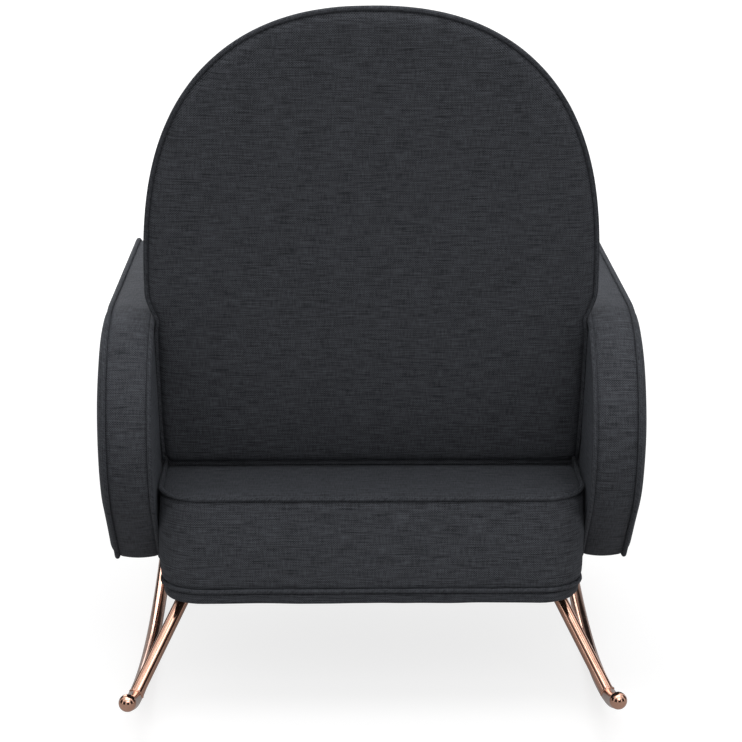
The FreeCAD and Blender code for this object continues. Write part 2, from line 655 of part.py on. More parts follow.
def arm_profile(name, inset, across):
    """The arm's side outline in (Y, Z), drawn in by an inset, at one X.

    It has a flat top, two curved ends and slanted lower edges with rounded toes.
    """
    toe_radius = f"max($arm_toe_radius - ({inset}); {SHARPEST_TOE})"
    rear_radius = f"$arm_rear_radius - ({inset})"
    front_radius = f"$arm_front_radius - ({inset})"
    rear_turn, front_turn, toe = [value_of(e) for e in (rear_radius, front_radius, toe_radius)]
    top = value_of(f"$arm_top - ({inset})")
    bottom = value_of(f"$arm_bottom + ({inset})")
    rear_middle = V(size("arm_rear") - size("arm_rear_radius"), top - rear_turn, 0)
    front_middle = V(size("arm_front_radius") - size("arm_front"), top - front_turn, 0)
    rear_slant = math.radians(size("arm_rear_slant"))
    front_slant = math.radians(size("arm_front_slant"))
    rear_down = V(-math.sin(rear_slant), -math.cos(rear_slant), 0)
    front_down = V(math.sin(front_slant), -math.cos(front_slant), 0)
    rear_out = V(math.cos(rear_slant), -math.sin(rear_slant), 0)
    front_out = V(-math.cos(front_slant), -math.sin(front_slant), 0)

    def toe_middle(middle, turn, down, out):
        """The centre of the small arc between a slanted edge and the bottom."""
        start = middle + out * (turn - toe)
        return start + down * ((bottom + toe - start.y) / down.y)

    def arc(middle, turn, begin, finish):
        return Part.ArcOfCircle(Part.Circle(middle, Z_AXIS, turn), begin, finish)

    rear_toe = toe_middle(rear_middle, rear_turn, rear_down, rear_out)
    front_toe = toe_middle(front_middle, front_turn, front_down, front_out)
    front_angle = math.pi + front_slant
    rear_arc = arc(rear_middle, rear_turn, -rear_slant, math.pi / 2)
    front_arc = arc(front_middle, front_turn, math.pi / 2, front_angle)
    front_corner = arc(front_toe, toe, front_angle, 1.5 * math.pi)
    rear_corner = arc(rear_toe, toe, -math.pi / 2, -rear_slant)
    sketch = add("Sketcher::SketchObject", name)
    loop = [
        rear_arc,
        Part.LineSegment(rear_arc.EndPoint, front_arc.StartPoint),
        front_arc,
        Part.LineSegment(front_arc.EndPoint, front_corner.StartPoint),
        front_corner,
        Part.LineSegment(front_corner.EndPoint, rear_corner.StartPoint),
        rear_corner,
        Part.LineSegment(rear_corner.EndPoint, rear_arc.StartPoint),
    ]
    for piece in loop:
        sketch.addGeometry(piece)
    tangent_loop(sketch, len(loop))
    sketch.addConstraint(Sketcher.Constraint("Horizontal", 1))
    sketch.addConstraint(Sketcher.Constraint("Horizontal", 5))
    sketch.addConstraint(Sketcher.Constraint("Equal", 4, 6))
    measures = [
        ("rear_curve", Sketcher.Constraint("Radius", 0, rear_turn), rear_radius),
        ("front_curve", Sketcher.Constraint("Radius", 2, front_turn), front_radius),
        ("toe", Sketcher.Constraint("Radius", 4, toe), toe_radius),
        ("top", Sketcher.Constraint("DistanceY", -1, 1, 1, 1, top), f"$arm_top - ({inset})"),
        ("bottom", Sketcher.Constraint("DistanceY", -1, 1, 5, 1, bottom),
         f"$arm_bottom + ({inset})"),
        ("rear", Sketcher.Constraint("DistanceX", -1, 1, 0, 3, rear_middle.x),
         "$arm_rear - $arm_rear_radius"),
        ("front", Sketcher.Constraint("DistanceX", 2, 3, -1, 1, -front_middle.x),
         "$arm_front - $arm_front_radius"),
        ("front_slope", Sketcher.Constraint("Angle", 3, front_slant - math.pi / 2),
         "($arm_front_slant - 90) * 1 deg"),
        ("rear_slope", Sketcher.Constraint("Angle", 7, math.pi / 2 - rear_slant),
         "(90 - $arm_rear_slant) * 1 deg"),
    ]
    for label, constraint, expression in measures:
        index = sketch.addConstraint(constraint)
        sketch.renameConstraint(index, label)
        sketch.setExpression("Constraints." + label, cells(expression))
    sketch.Placement.Rotation = SIDE_TURN
    return place(sketch, x=across)


def arm_layer(name, inset, start, thickness):
    """A slab of the arm's outline, drawn in by an inset, from one X to another."""
    return extrusion(name, arm_profile(name + "_outline", inset, start), thickness, X_AXIS)


ARM_FACE = "($arm_inner + 1.5)"
BAND_START = "($arm_inner + $piping / 2 + $gap)"
BAND_WIDE = "($arm_outer - $arm_inner - $piping - 2 * $gap)"
FRAME_INSET = "($band_sink + $band_thick + $gap)"
OUTER_START = "($arm_inner + 1.5 + $arm_pad + 2 * $gap + $arm_frame_thick)"

band_out = arm_layer("arm_band_out", "$band_sink", BAND_START, BAND_WIDE)
band_in = arm_layer("arm_band_in", "$band_sink + $band_thick", BAND_START + " - 1",
                    BAND_WIDE + " + 2")
band = keep(cut("arm_band_left_ring", band_out, band_in), "arm_band_left")
frame_out = arm_layer("arm_frame_out", FRAME_INSET, ARM_FRAME_INNER, "$arm_frame_thick")
frame_in = arm_layer("arm_frame_in", FRAME_INSET + " + $arm_bar", ARM_FRAME_INNER + " - 1",
                     "$arm_frame_thick + 2")
frame_ring = cut("arm_frame_ring", frame_out, frame_in)
arm_frame = keep(cut("arm_frame_left_ring", frame_ring, bolt_holes), "arm_frame_left")
inner_slab = arm_layer("arm_inner_slab", FRAME_INSET, ARM_FACE, "$arm_pad")
inner_panel = keep(cut("arm_inner_left", inner_slab, bolt_holes), "arm_inner_panel_left")
outer_panel = keep(arm_layer("arm_outer_left", FRAME_INSET, OUTER_START,
                             f"$arm_swell - {OUTER_START}"), "arm_outer_panel_left")
arm_pieces = [(band, "arm_band"), (arm_frame, "arm_frame"), (inner_panel, "arm_inner_panel"),
              (outer_panel, "arm_outer_panel")]
for word, across in (("inner", "$arm_inner"), ("outer", "$arm_outer")):
    path = arm_profile(f"arm_piping_{word}_path", "$piping / 2", across)
    section = add("Part::Circle", f"arm_piping_{word}_section")
    section.Placement.Rotation = FreeCAD.Rotation(X_AXIS, 90)
    bind(section, Radius="$piping / 2")
    place(section, x=across, y="0", z="$arm_top - $piping / 2")
    doc.recompute()
    ring = keep(sweep(f"arm_piping_{word}_ring", path, section), f"arm_piping_{word}_left")
    arm_pieces.append((ring, f"arm_piping_{word}"))
for piece, label in arm_pieces:
    mirrored(piece, label + "_right")

# ---------------------------------------------------------------- back

recline = size("back_recline")
BACK_PLACE = FreeCAD.Placement(V(0, size("back_foot_y"), size("back_foot_z")),
                               FreeCAD.Rotation(X_AXIS, -recline))
OUTLINE_STEPS = 24


def back_curve(inset, low):
    """Points of one side and the arch, from the lower right round to the lower left."""
    flare_start = size("back_waist_top")
    flare_end = flare_start + size("back_flare")
    waist = size("back_waist") - inset
    spread = size("back_spread") - inset
    rise = size("arch_rise") - inset
    up_power = size("arch_up_power")
    across_power = size("arch_across_power")

    def half_width(up):
        """The arch's half width, drawn in to the waist between the arms."""
        share = min(max((up - size("arch_start")) / rise, 0.0), 1.0)
        wide = spread * (1 - share ** up_power) ** (1 / across_power)
        flare = min(max((up - flare_start) / (flare_end - flare_start), 0.0), 1.0)
        return waist + (wide - waist) * flare * flare * (3 - 2 * flare)

    points = []
    for step in range(OUTLINE_STEPS):
        up = low + (flare_end - low) * step / OUTLINE_STEPS
        points.append((half_width(up), up))
    first = math.asin(((flare_end - size("arch_start")) / rise) ** (up_power / 2))
    for step in range(OUTLINE_STEPS):
        angle = first + (math.pi / 2 - first) * step / OUTLINE_STEPS
        up = size("arch_start") + rise * math.sin(angle) ** (2 / up_power)
        points.append((half_width(up), up))
    points.append((0.0, size("arch_start") + rise))
    return points + [(-x, up) for x, up in reversed(points[:-1])]


def back_edge(inset, low, deep):
    curve = Part.BSplineCurve()
    curve.interpolate([V(x, deep, up) for x, up in back_curve(inset, low)])
    return curve.toShape()


def back_outline(inset, low, deep):
    """A closed outline in a plane parallel to the back's rear face."""
    arch = back_edge(inset, low, deep)
    foot = Part.makeLine(arch.valueAt(arch.LastParameter), arch.valueAt(arch.FirstParameter))
    return Part.Wire([arch, foot])


def back_slab(inset, low, start, thickness):
    """A slab of the back's outline; depth is counted forward from the piping's plane."""
    face = Part.Face(back_outline(inset, low, -start))
    return face.extrude(V(0, -thickness, 0))


def back_piece(label, shape):
    """Set a piece drawn upright at the foot of the back, then lean it."""
    return keep(solid_feature(label + "_solid", shape, BACK_PLACE), label)


def upright_box(low_x, high_x, start, deep, low, high):
    return Part.makeBox(high_x - low_x, deep, high - low, V(low_x, -start - deep, low))


gap = size("gap")
piping = size("piping")
room = size("room")
frame_inset = size("back_frame_inset")
frame_depth = size("back_frame_thick")
frame_start = 2.0
border_depth = frame_start + frame_depth + size("strap_thick") + gap
post_start = border_depth + gap
pad_low = 0.5
piping_low = 3.0

pad_loft = Part.makeLoft([back_outline(piping + gap, pad_low, -gap),
                          back_outline(size("back_taper"), pad_low, -size("back_thick"))], True)
border_space = upright_box(-room, room, 0, border_depth, -room, room)
cavity = back_slab(frame_inset - gap, -50, 0, border_depth + 1)
back_piece("back_border", pad_loft.common(border_space).cut(cavity))
back_piece("back_rear_pad", back_slab(piping + gap, pad_low, -size("back_rear_crown"),
                                      size("back_rear_crown")))

piping_path = back_edge(piping / 2, piping_low, 0)
piping_start = piping_path.valueAt(piping_path.FirstParameter)
piping_way = piping_path.tangentAt(piping_path.FirstParameter)
piping_ring_shape = Part.Circle(piping_start, piping_way, piping / 2).toShape()
piping_maker = Part.BRepOffsetAPI.MakePipeShell(Part.Wire(piping_path))
piping_maker.setBiNormalMode(Y_AXIS)
piping_maker.add(Part.Wire(piping_ring_shape))
piping_maker.build()
piping_maker.makeSolid()
back_piece("back_piping", piping_maker.shape())

frame_low = 8.0
frame_hole = back_slab(frame_inset + size("back_frame_bar"), frame_low + size("back_frame_bar"),
                       frame_start - 1, frame_depth + 2)
back_piece("back_frame", back_slab(frame_inset, frame_low, frame_start, frame_depth).cut(frame_hole))

strap_half = size("back_waist") - frame_inset - size("back_frame_bar") + size("strap_lap")
strap_start = frame_start + frame_depth + 0.05
straps = []
for number in range(4):
    middle = size("strap_start") + number * size("strap_pitch")
    straps.append(upright_box(-strap_half, strap_half, strap_start, size("strap_thick"),
                              middle - size("strap_wide") / 2, middle + size("strap_wide") / 2))
back_piece("back_straps", Part.makeCompound(straps))

post_outer = value_of(SIDE_BOARD_INNER) - size("bolt_head_thick") - 1
post_inner = post_outer - size("post_wide")
wood_rooms = []
for side, word in ((1, "left"), (-1, "right")):
    low_x, high_x = sorted((side * post_inner, side * post_outer))
    post = upright_box(low_x, high_x, post_start, size("post_deep"),
                       -size("post_drop"), size("post_rise"))
    back_piece(f"back_post_{word}", post)
    wood_rooms.append(upright_box(low_x - gap, high_x + gap, 0, post_start + size("post_deep") + gap,
                                  -size("post_drop"), size("post_rise") + gap))
lumbar_low = size("lumbar_height")
lumbar_high = lumbar_low + size("lumbar_wide")
lumbar_half = post_inner - gap
back_piece("lumbar_rail", upright_box(-lumbar_half, lumbar_half, post_start,
                                      size("lumbar_thick"), lumbar_low, lumbar_high))
wood_rooms.append(upright_box(-lumbar_half, lumbar_half, 0,
                              post_start + size("lumbar_thick") + gap,
                              lumbar_low - gap, lumbar_high + gap))
front_pad = pad_loft.cut(upright_box(-room, room, -1, border_depth + 1 + gap, -room, room))
back_piece("back_front_pad", front_pad.cut(wood_rooms))

# ---------------------------------------------------------------- deck pad, over the springs

deck_blank = base_block("deck_blank", "($wrap_thick + $gap)", "$deck_top - $deck_pad_thick",
                        "$deck_pad_thick")
slot_shapes = []
for side in (1, -1):
    low_x, high_x = sorted((side * (post_inner - 2), side * (post_outer + 2)))
    slot = upright_box(low_x, high_x, post_start - 2, size("post_deep") + 4,
                       -size("post_drop"), 60)
    slot_shapes.append(slot)
slots = solid_feature("deck_slots", Part.makeCompound(slot_shapes), BACK_PLACE)
keep(cut("deck_slotted", deck_blank, slots), "deck_pad")

# ---------------------------------------------------------------- seat cushion

CUSHION_BOTTOM = "($deck_top + $loose_gap)"


def cushion_block(name, inset, bottom, height):
    return rounded_block(name, f"$cushion_spread - ({inset})", f"$cushion_front - ({inset})",
                         f"$cushion_rear - ({inset})", f"$cushion_corner - ({inset})",
                         bottom, height)


cushion_low = f"{CUSHION_BOTTOM} + $piping + $gap"
cushion_tall = "$cushion_high - 2 * ($piping + $gap)"
cushion_core = cushion_block("cushion_core", "2", cushion_low, cushion_tall)
cushion_foot = cushion_block("cushion_foot", "$piping + 2.5", CUSHION_BOTTOM,
                             "$cushion_high")
zip_slot = box("zip_slot", "$zip_long + $slider_long + 4", "6", "$zip_high + 4",
               x="-$zip_long / 2 - $slider_long - 2", y="$cushion_rear - 2 - $zip_thick - 2.6",
               z=f"{CUSHION_BOTTOM} + $cushion_high / 2 - $zip_high / 2 - 2")
cushion_whole = fuse("cushion_whole", [cushion_core, cushion_foot])
keep(cut("cushion_slotted", cushion_whole, zip_slot), "seat_cushion")
for word, height in (("lower", f"{CUSHION_BOTTOM} + $piping / 2"),
                     ("upper", f"{CUSHION_BOTTOM} + $cushion_high - $piping / 2")):
    ring = piping_ring(f"cushion_piping_{word}_ring", "$cushion_spread", "$cushion_front",
                       "$cushion_rear", "$cushion_corner", height)
    keep(ring, f"cushion_piping_{word}")
zip_back = "$cushion_rear - 2 - $zip_thick - $zip_slot_deep"
tape = box("zip_tape_strip", "$zip_long", "$zip_thick", "$zip_high", x="-$zip_long / 2",
           y=zip_back, z=f"{CUSHION_BOTTOM} + $cushion_high / 2 - $zip_high / 2")
keep(tape, "cushion_zip")
slider = box("zip_slider_body", "$slider_long", "2.2", "$zip_high - 2",
             x="-$zip_long / 2", y=f"{zip_back} + $zip_thick + 0.3",
             z=f"{CUSHION_BOTTOM} + $cushion_high / 2 - $zip_high / 2 + 1")
keep(slider, "zip_slider")

# ---------------------------------------------------------------- check and write

doc.recompute()
faults = []
for thing in doc.Objects:
    if "Invalid" in thing.State or "Error" in thing.State:
        faults.append(f"{thing.Label}: {thing.State}")
for thing in kept:
    if thing.Shape.isNull() or not thing.Shape.isValid() or not thing.Shape.Solids:
        faults.append(f"{thing.Label}: no valid solid")
if faults:
    raise RuntimeError("; ".join(faults))

os.makedirs("parts", exist_ok=True)
for thing in kept:
    thing.Shape.exportStep(f"parts/{thing.Label}.step")
print(len(kept), "sub-parts written")
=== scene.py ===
import math

import bmesh
import bpy
from mathutils import Matrix, Vector, noise
from mathutils.bvhtree import BVHTree


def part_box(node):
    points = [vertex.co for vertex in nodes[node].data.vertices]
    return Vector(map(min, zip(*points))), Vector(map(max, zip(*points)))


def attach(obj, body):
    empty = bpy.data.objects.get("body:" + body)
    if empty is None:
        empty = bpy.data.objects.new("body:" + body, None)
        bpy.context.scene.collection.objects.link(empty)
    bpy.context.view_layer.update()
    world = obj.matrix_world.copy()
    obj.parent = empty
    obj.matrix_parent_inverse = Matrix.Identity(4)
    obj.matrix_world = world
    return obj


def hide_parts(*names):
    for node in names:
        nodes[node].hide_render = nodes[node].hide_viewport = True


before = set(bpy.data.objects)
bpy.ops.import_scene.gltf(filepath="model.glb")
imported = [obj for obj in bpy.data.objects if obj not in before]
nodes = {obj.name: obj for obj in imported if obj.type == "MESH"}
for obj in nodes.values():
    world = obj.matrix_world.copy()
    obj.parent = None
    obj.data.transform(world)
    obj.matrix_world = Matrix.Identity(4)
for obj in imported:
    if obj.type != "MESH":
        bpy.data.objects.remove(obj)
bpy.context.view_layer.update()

scene = bpy.context.scene

# ---------------------------------------------------------------- camera and room

LENS_MM = 111.6
CAMERA_PLACE = (0.0418, 3.468, 1.387)
CAMERA_DOWN = 15.0
CAMERA_TURN = 179.27

camera_data = bpy.data.cameras.new("camera")
camera_data.lens = LENS_MM
camera_data.sensor_width = 36.0
camera = bpy.data.objects.new("camera", camera_data)
camera.location = CAMERA_PLACE
camera.rotation_euler = (math.radians(90 - CAMERA_DOWN), 0, math.radians(CAMERA_TURN))
scene.collection.objects.link(camera)
scene.camera = camera
scene.view_settings.view_transform = "Standard"


class Nodes:
    """Short calls for building a node tree."""

    def __init__(self, tree):
        self.tree = tree
        tree.nodes.clear()

    def add(self, kind, **settings):
        made = self.tree.nodes.new(kind)
        for word, value in settings.items():
            if word in made.inputs:
                made.inputs[word].default_value = value
            else:
                setattr(made, word, value)
        return made

    def join(self, source, target, output=0):
        out = source.outputs[output]
        self.tree.links.new(out, target)
        return out

    def math(self, operation, first, second=None):
        made = self.tree.nodes.new("ShaderNodeMath")
        made.operation = operation
        for slot, given in enumerate((first, second)):
            if given is None:
                continue
            if isinstance(given, (int, float)):
                made.inputs[slot].default_value = given
            else:
                self.tree.links.new(given, made.inputs[slot])
        return made.outputs[0]

    def plus(self, start, given, weight):
        return self.math("ADD", start, self.math("MULTIPLY", given, weight))

    def ramp(self, given, low, high, low_out=0.0, high_out=1.0):
        made = self.tree.nodes.new("ShaderNodeMapRange")
        made.interpolation_type = "SMOOTHSTEP"
        self.tree.links.new(given, made.inputs["Value"])
        made.inputs["From Min"].default_value = low
        made.inputs["From Max"].default_value = high
        made.inputs["To Min"].default_value = low_out
        made.inputs["To Max"].default_value = high_out
        return made.outputs["Result"]

    def mix(self, amount, first, second):
        made = self.tree.nodes.new("ShaderNodeMix")
        made.data_type = "RGBA"
        for socket, given in ((made.inputs[0], amount), (made.inputs[6], first),
                              (made.inputs[7], second)):
            if isinstance(given, (int, float)):
                socket.default_value = given
            elif isinstance(given, tuple):
                socket.default_value = given + (1.0,)
            else:
                self.tree.links.new(given, socket)
        return made.outputs[2]


def material(name):
    made = bpy.data.materials.new(name)
    made.use_nodes = True
    return made, Nodes(made.node_tree)


def close_material(n, shader, height, strength, distance):
    """Give a shader its relief and join it to the surface."""
    bump = n.add("ShaderNodeBump", Strength=strength, Distance=distance)
    n.tree.links.new(height, bump.inputs["Height"])
    n.join(bump, shader.inputs["Normal"])
    n.join(shader, n.add("ShaderNodeOutputMaterial").inputs["Surface"])


FLOOR_PAINT = 0.30
FLOOR_GLOW = 0.78
FLOOR_BOUNCE = 0.16


def studio_floor():
    """A pale floor that turns to plain white away from the chair."""
    made, n = material("studio_floor")
    place = n.add("ShaderNodeTexCoord")
    far = n.add("ShaderNodeVectorMath", operation="LENGTH")
    n.join(place, far.inputs[0], "Object")
    rays = n.add("ShaderNodeLightPath")
    away = n.ramp(far.outputs["Value"], 1.2, 3.4, FLOOR_GLOW, 1.0)
    seen = n.math("MULTIPLY", rays.outputs["Is Camera Ray"], away)
    unseen = n.math("MULTIPLY", n.math("SUBTRACT", 1.0, rays.outputs["Is Camera Ray"]),
                    FLOOR_BOUNCE)
    paint = n.add("ShaderNodeBsdfDiffuse", Color=(FLOOR_PAINT, FLOOR_PAINT, FLOOR_PAINT, 1))
    glow = n.add("ShaderNodeEmission", Color=(1, 1, 1, 1))
    n.tree.links.new(n.math("ADD", seen, unseen), glow.inputs["Strength"])
    blend = n.add("ShaderNodeAddShader")
    n.join(paint, blend.inputs[0])
    n.join(glow, blend.inputs[1])
    out = n.add("ShaderNodeOutputMaterial")
    n.join(blend, out.inputs["Surface"])
    mesh = bpy.data.meshes.new("floor")
    half = 40.0
    mesh.from_pydata([(-half, -half, 0), (half, -half, 0), (half, half, 0), (-half, half, 0)],
                     [], [(0, 1, 2, 3)])
    mesh.materials.append(made)
    floor = bpy.data.objects.new("floor", mesh)
    scene.collection.objects.link(floor)


def studio_world():
    """White all round, with soft boxes and dark gaps that only polished metal shows."""
    world = bpy.data.worlds.new("studio")
    world.use_nodes = True
    n = Nodes(world.node_tree)
    scene.world = world
    rays = n.add("ShaderNodeLightPath")
    way = n.add("ShaderNodeTexCoord")
    split = n.add("ShaderNodeSeparateXYZ")
    n.join(way, split.inputs[0], "Generated")
    turn = n.math("ARCTAN2", split.outputs[0], split.outputs[1])
    wave = n.math("SINE", n.math("MULTIPLY", turn, 7.0))
    dim = n.ramp(wave, -0.35, 0.45, 0.02, 0.34)
    strip = n.ramp(wave, 0.95, 0.985, 0.0, 1.7)
    height = n.ramp(split.outputs[2], 0.45, 0.75, 0.0, 0.9)
    seen_in_metal = n.math("ADD", n.math("ADD", dim, strip), height)
    soft = 0.50
    strength = n.math("ADD", n.math("MULTIPLY", rays.outputs["Is Glossy Ray"], seen_in_metal),
                      n.math("MULTIPLY", n.math("SUBTRACT", 1.0, rays.outputs["Is Glossy Ray"]),
                             soft))
    strength = n.math("ADD", n.math("MULTIPLY", rays.outputs["Is Camera Ray"], 1.0),
                      n.math("MULTIPLY", n.math("SUBTRACT", 1.0, rays.outputs["Is Camera Ray"]),
                             strength))
    sky = n.add("ShaderNodeBackground", Color=(1, 1, 1, 1))
    n.tree.links.new(strength, sky.inputs["Strength"])
    out = n.add("ShaderNodeOutputWorld")
    n.join(sky, out.inputs["Surface"])


def soft_box(name, place, aim, wide, high, power):
    light = bpy.data.lights.new(name, "AREA")
    light.shape = "RECTANGLE"
    light.size = wide
    light.size_y = high
    light.energy = power
    lamp = bpy.data.objects.new(name, light)
    lamp.location = place
    lamp.rotation_euler = (Vector(aim) - Vector(place)).to_track_quat("-Z", "Y").to_euler()
    lamp.visible_camera = False
    scene.collection.objects.link(lamp)


studio_floor()
studio_world()
soft_box("top_light", (0, 0.7, 3.4), (0, 0.2, 0.5), 3.2, 2.6, 72)
soft_box("rear_light", (-0.6, 4.0, 3.4), (0, 0.2, 0.5), 2.6, 1.8, 52)
soft_box("front_light", (1.6, -4.0, 2.6), (0, 0, 0.5), 2.6, 2.0, 45)

# ---------------------------------------------------------------- finishes


def woven_cloth(name, dark, light, bias=0.0):
    """Linen-look upholstery cloth: uneven weft and warp, thick slubs and a plain weave."""
    made, n = material(name)
    laid = n.add("ShaderNodeUVMap", uv_map="cloth")
    turned = n.add("ShaderNodeMapping", Rotation=(0, 0, math.radians(bias)))
    n.join(laid, turned.inputs[0])

    def streaks(across, along, detail, seed):
        """Noise drawn out along the threads; sizes in millimetres."""
        stretch = n.add("ShaderNodeMapping", Scale=(1000 / across, 1000 / along, 1),
                        Location=(seed, 2.7 * seed, 0))
        n.join(turned, stretch.inputs[0])
        grain = n.add("ShaderNodeTexNoise", Scale=1.0, Detail=detail, Roughness=0.62)
        n.join(stretch, grain.inputs["Vector"])
        return grain.outputs[0]

    weft = streaks(27, 1.7, 1.0, 3.1)
    warp = streaks(1.7, 17, 1.0, 8.4)
    gaps = n.ramp(streaks(46, 2.0, 0.0, 15.7), 0.40, 0.30)
    slubs = n.ramp(streaks(40, 2.2, 1.0, 22.3), 0.62, 0.74)
    patches = streaks(90, 60, 2.0, 31.9)
    open_weave = n.ramp(streaks(30, 22, 2.0, 44.2), 0.35, 0.65, 0.35, 1.0)

    split = n.add("ShaderNodeSeparateXYZ")
    n.join(turned, split.inputs[0])
    turns = 2 * math.pi / (0.0034)
    weave = n.math("MULTIPLY", n.math("SINE", n.math("MULTIPLY", split.outputs[0], turns)),
                   n.math("SINE", n.math("MULTIPLY", split.outputs[1], turns)))
    weave = n.math("MULTIPLY", weave, open_weave)

    tone = n.math("ADD", n.math("MULTIPLY", n.math("SUBTRACT", weft, 0.5), 1.5), 0.50)
    tone = n.plus(tone, n.math("SUBTRACT", warp, 0.5), 1.0)
    tone = n.plus(tone, gaps, -0.26)
    tone = n.plus(tone, slubs, 0.22)
    tone = n.plus(tone, weave, 0.62)
    tone = n.plus(tone, n.math("SUBTRACT", patches, 0.5), 0.12)
    tone = n.ramp(tone, -0.3, 1.3)
    colour = n.mix(tone, dark, light)

    raised = n.math("ADD", n.math("MULTIPLY", weft, 0.7), n.math("MULTIPLY", warp, 0.5))
    raised = n.plus(raised, gaps, -0.4)
    raised = n.plus(raised, slubs, 0.5)
    raised = n.plus(raised, weave, 0.4)

    cloth = n.add("ShaderNodeBsdfPrincipled", Roughness=0.86)
    cloth.inputs["Specular IOR Level"].default_value = 0.2
    cloth.inputs["Sheen Weight"].default_value = 0.05
    cloth.inputs["Sheen Roughness"].default_value = 0.45
    cloth.inputs["Sheen Tint"].default_value = (0.75, 0.82, 0.95, 1)
    n.tree.links.new(colour, cloth.inputs["Base Color"])
    close_material(n, cloth, raised, 0.5, 0.0007)
    return made


def polished_metal(name, colour, deep, rough):
    """Plated tube: mirror finish with a faint fine grain and soft smudges."""
    made, n = material(name)
    place = n.add("ShaderNodeTexCoord")
    smudge = n.add("ShaderNodeTexNoise", Scale=38.0, Detail=3.0, Roughness=0.55)
    n.join(place, smudge.inputs["Vector"], "Object")
    fine = n.add("ShaderNodeTexNoise", Scale=900.0, Detail=2.0, Roughness=0.6)
    n.join(place, fine.inputs["Vector"], "Object")
    metal = n.add("ShaderNodeBsdfPrincipled", Metallic=1.0)
    tint = n.mix(n.ramp(smudge.outputs[0], 0.3, 0.7), deep, colour)
    n.tree.links.new(tint, metal.inputs["Base Color"])
    haze = n.math("ADD", n.ramp(smudge.outputs[0], 0.35, 0.75, rough, rough + 0.05),
                  n.math("MULTIPLY", fine.outputs[0], 0.03))
    n.tree.links.new(haze, metal.inputs["Roughness"])
    close_material(n, metal, fine.outputs[0], 0.03, 0.0002)
    return made


def plain_steel(name, colour, deep, rough, metallic=1.0):
    """Painted, plated or drawn steel with a grain and a cloudy tone."""
    made, n = material(name)
    place = n.add("ShaderNodeTexCoord")
    grain = n.add("ShaderNodeTexNoise", Scale=420.0, Detail=4.0, Roughness=0.65)
    n.join(place, grain.inputs["Vector"], "Object")
    cloud = n.add("ShaderNodeTexNoise", Scale=45.0, Detail=3.0, Roughness=0.5)
    n.join(place, cloud.inputs["Vector"], "Object")
    steel = n.add("ShaderNodeBsdfPrincipled", Metallic=metallic)
    tint = n.mix(n.ramp(cloud.outputs[0], 0.3, 0.7), deep, colour)
    n.tree.links.new(tint, steel.inputs["Base Color"])
    n.tree.links.new(n.ramp(grain.outputs[0], 0.3, 0.7, rough, rough + 0.12),
                     steel.inputs["Roughness"])
    close_material(n, steel, grain.outputs[0], 0.12, 0.0003)
    return made


def sawn_wood(name, pale, deep):
    """Frame timber: long growth lines, pores and a sawn surface."""
    made, n = material(name)
    place = n.add("ShaderNodeTexCoord")
    stretch = n.add("ShaderNodeMapping", Scale=(9, 60, 60))
    n.join(place, stretch.inputs[0], "Object")
    rings = n.add("ShaderNodeTexWave", Scale=0.9, Distortion=5.0, Detail=3.0)
    n.join(stretch, rings.inputs["Vector"])
    pores = n.add("ShaderNodeTexNoise", Scale=9.0, Detail=4.0, Roughness=0.7)
    n.join(stretch, pores.inputs["Vector"])
    tone = n.math("ADD", n.math("MULTIPLY", rings.outputs["Fac"], 0.6),
                  n.math("MULTIPLY", pores.outputs[0], 0.5))
    wood = n.add("ShaderNodeBsdfPrincipled", Roughness=0.72)
    n.tree.links.new(n.mix(n.ramp(tone, 0.2, 0.95), pale, deep), wood.inputs["Base Color"])
    close_material(n, wood, pores.outputs[0], 0.3, 0.0006)
    return made


def hidden_cloth(name, dark, light, pitch):
    """Plain technical cloth on Object coordinates: webbing, zip tape and the dust cover."""
    made, n = material(name)
    place = n.add("ShaderNodeTexCoord")
    split = n.add("ShaderNodeSeparateXYZ")
    n.join(place, split.inputs[0], "Object")
    turns = 2 * math.pi / pitch
    weave = n.math("MULTIPLY", n.math("SINE", n.math("MULTIPLY", split.outputs[0], turns)),
                   n.math("SINE", n.math("MULTIPLY", n.math("ADD", split.outputs[1],
                                                            split.outputs[2]), turns)))
    fuzz = n.add("ShaderNodeTexNoise", Scale=160.0, Detail=4.0, Roughness=0.7)
    n.join(place, fuzz.inputs["Vector"], "Object")
    tone = n.math("ADD", n.math("MULTIPLY", weave, 0.25), fuzz.outputs[0])
    cloth = n.add("ShaderNodeBsdfPrincipled", Roughness=0.9)
    cloth.inputs["Specular IOR Level"].default_value = 0.3
    n.tree.links.new(n.mix(n.ramp(tone, 0.2, 0.85), dark, light), cloth.inputs["Base Color"])
    close_material(n, cloth, tone, 0.4, 0.0005)
    return made


charcoal = woven_cloth("charcoal_linen", (0.0115, 0.0125, 0.015), (0.073, 0.077, 0.088))
piping_cloth = woven_cloth("piping_linen", (0.0105, 0.0115, 0.014), (0.066, 0.070, 0.080),
                           bias=45.0)
rose_gold = polished_metal("rose_gold_plate", (0.68, 0.40, 0.30), (0.56, 0.32, 0.235), 0.08)
black_steel = plain_steel("black_painted_steel", (0.035, 0.035, 0.036), (0.022, 0.022, 0.023),
                          0.38, metallic=0.0)
zinc_steel = plain_steel("zinc_plated_steel", (0.66, 0.67, 0.69), (0.52, 0.53, 0.55), 0.3)
spring_steel = plain_steel("drawn_spring_steel", (0.30, 0.31, 0.33), (0.20, 0.21, 0.22), 0.35)
dark_brass = plain_steel("dark_brass", (0.36, 0.29, 0.20), (0.24, 0.19, 0.13), 0.32)
frame_wood = sawn_wood("frame_timber", (0.58, 0.42, 0.26), (0.36, 0.24, 0.13))
dust_cloth = hidden_cloth("black_dust_cloth", (0.008, 0.008, 0.009), (0.032, 0.032, 0.034), 0.0016)
webbing = hidden_cloth("grey_webbing", (0.03, 0.03, 0.034), (0.12, 0.12, 0.13), 0.0024)
zip_tape = hidden_cloth("zip_tape_cloth", (0.012, 0.012, 0.014), (0.05, 0.05, 0.055), 0.0009)
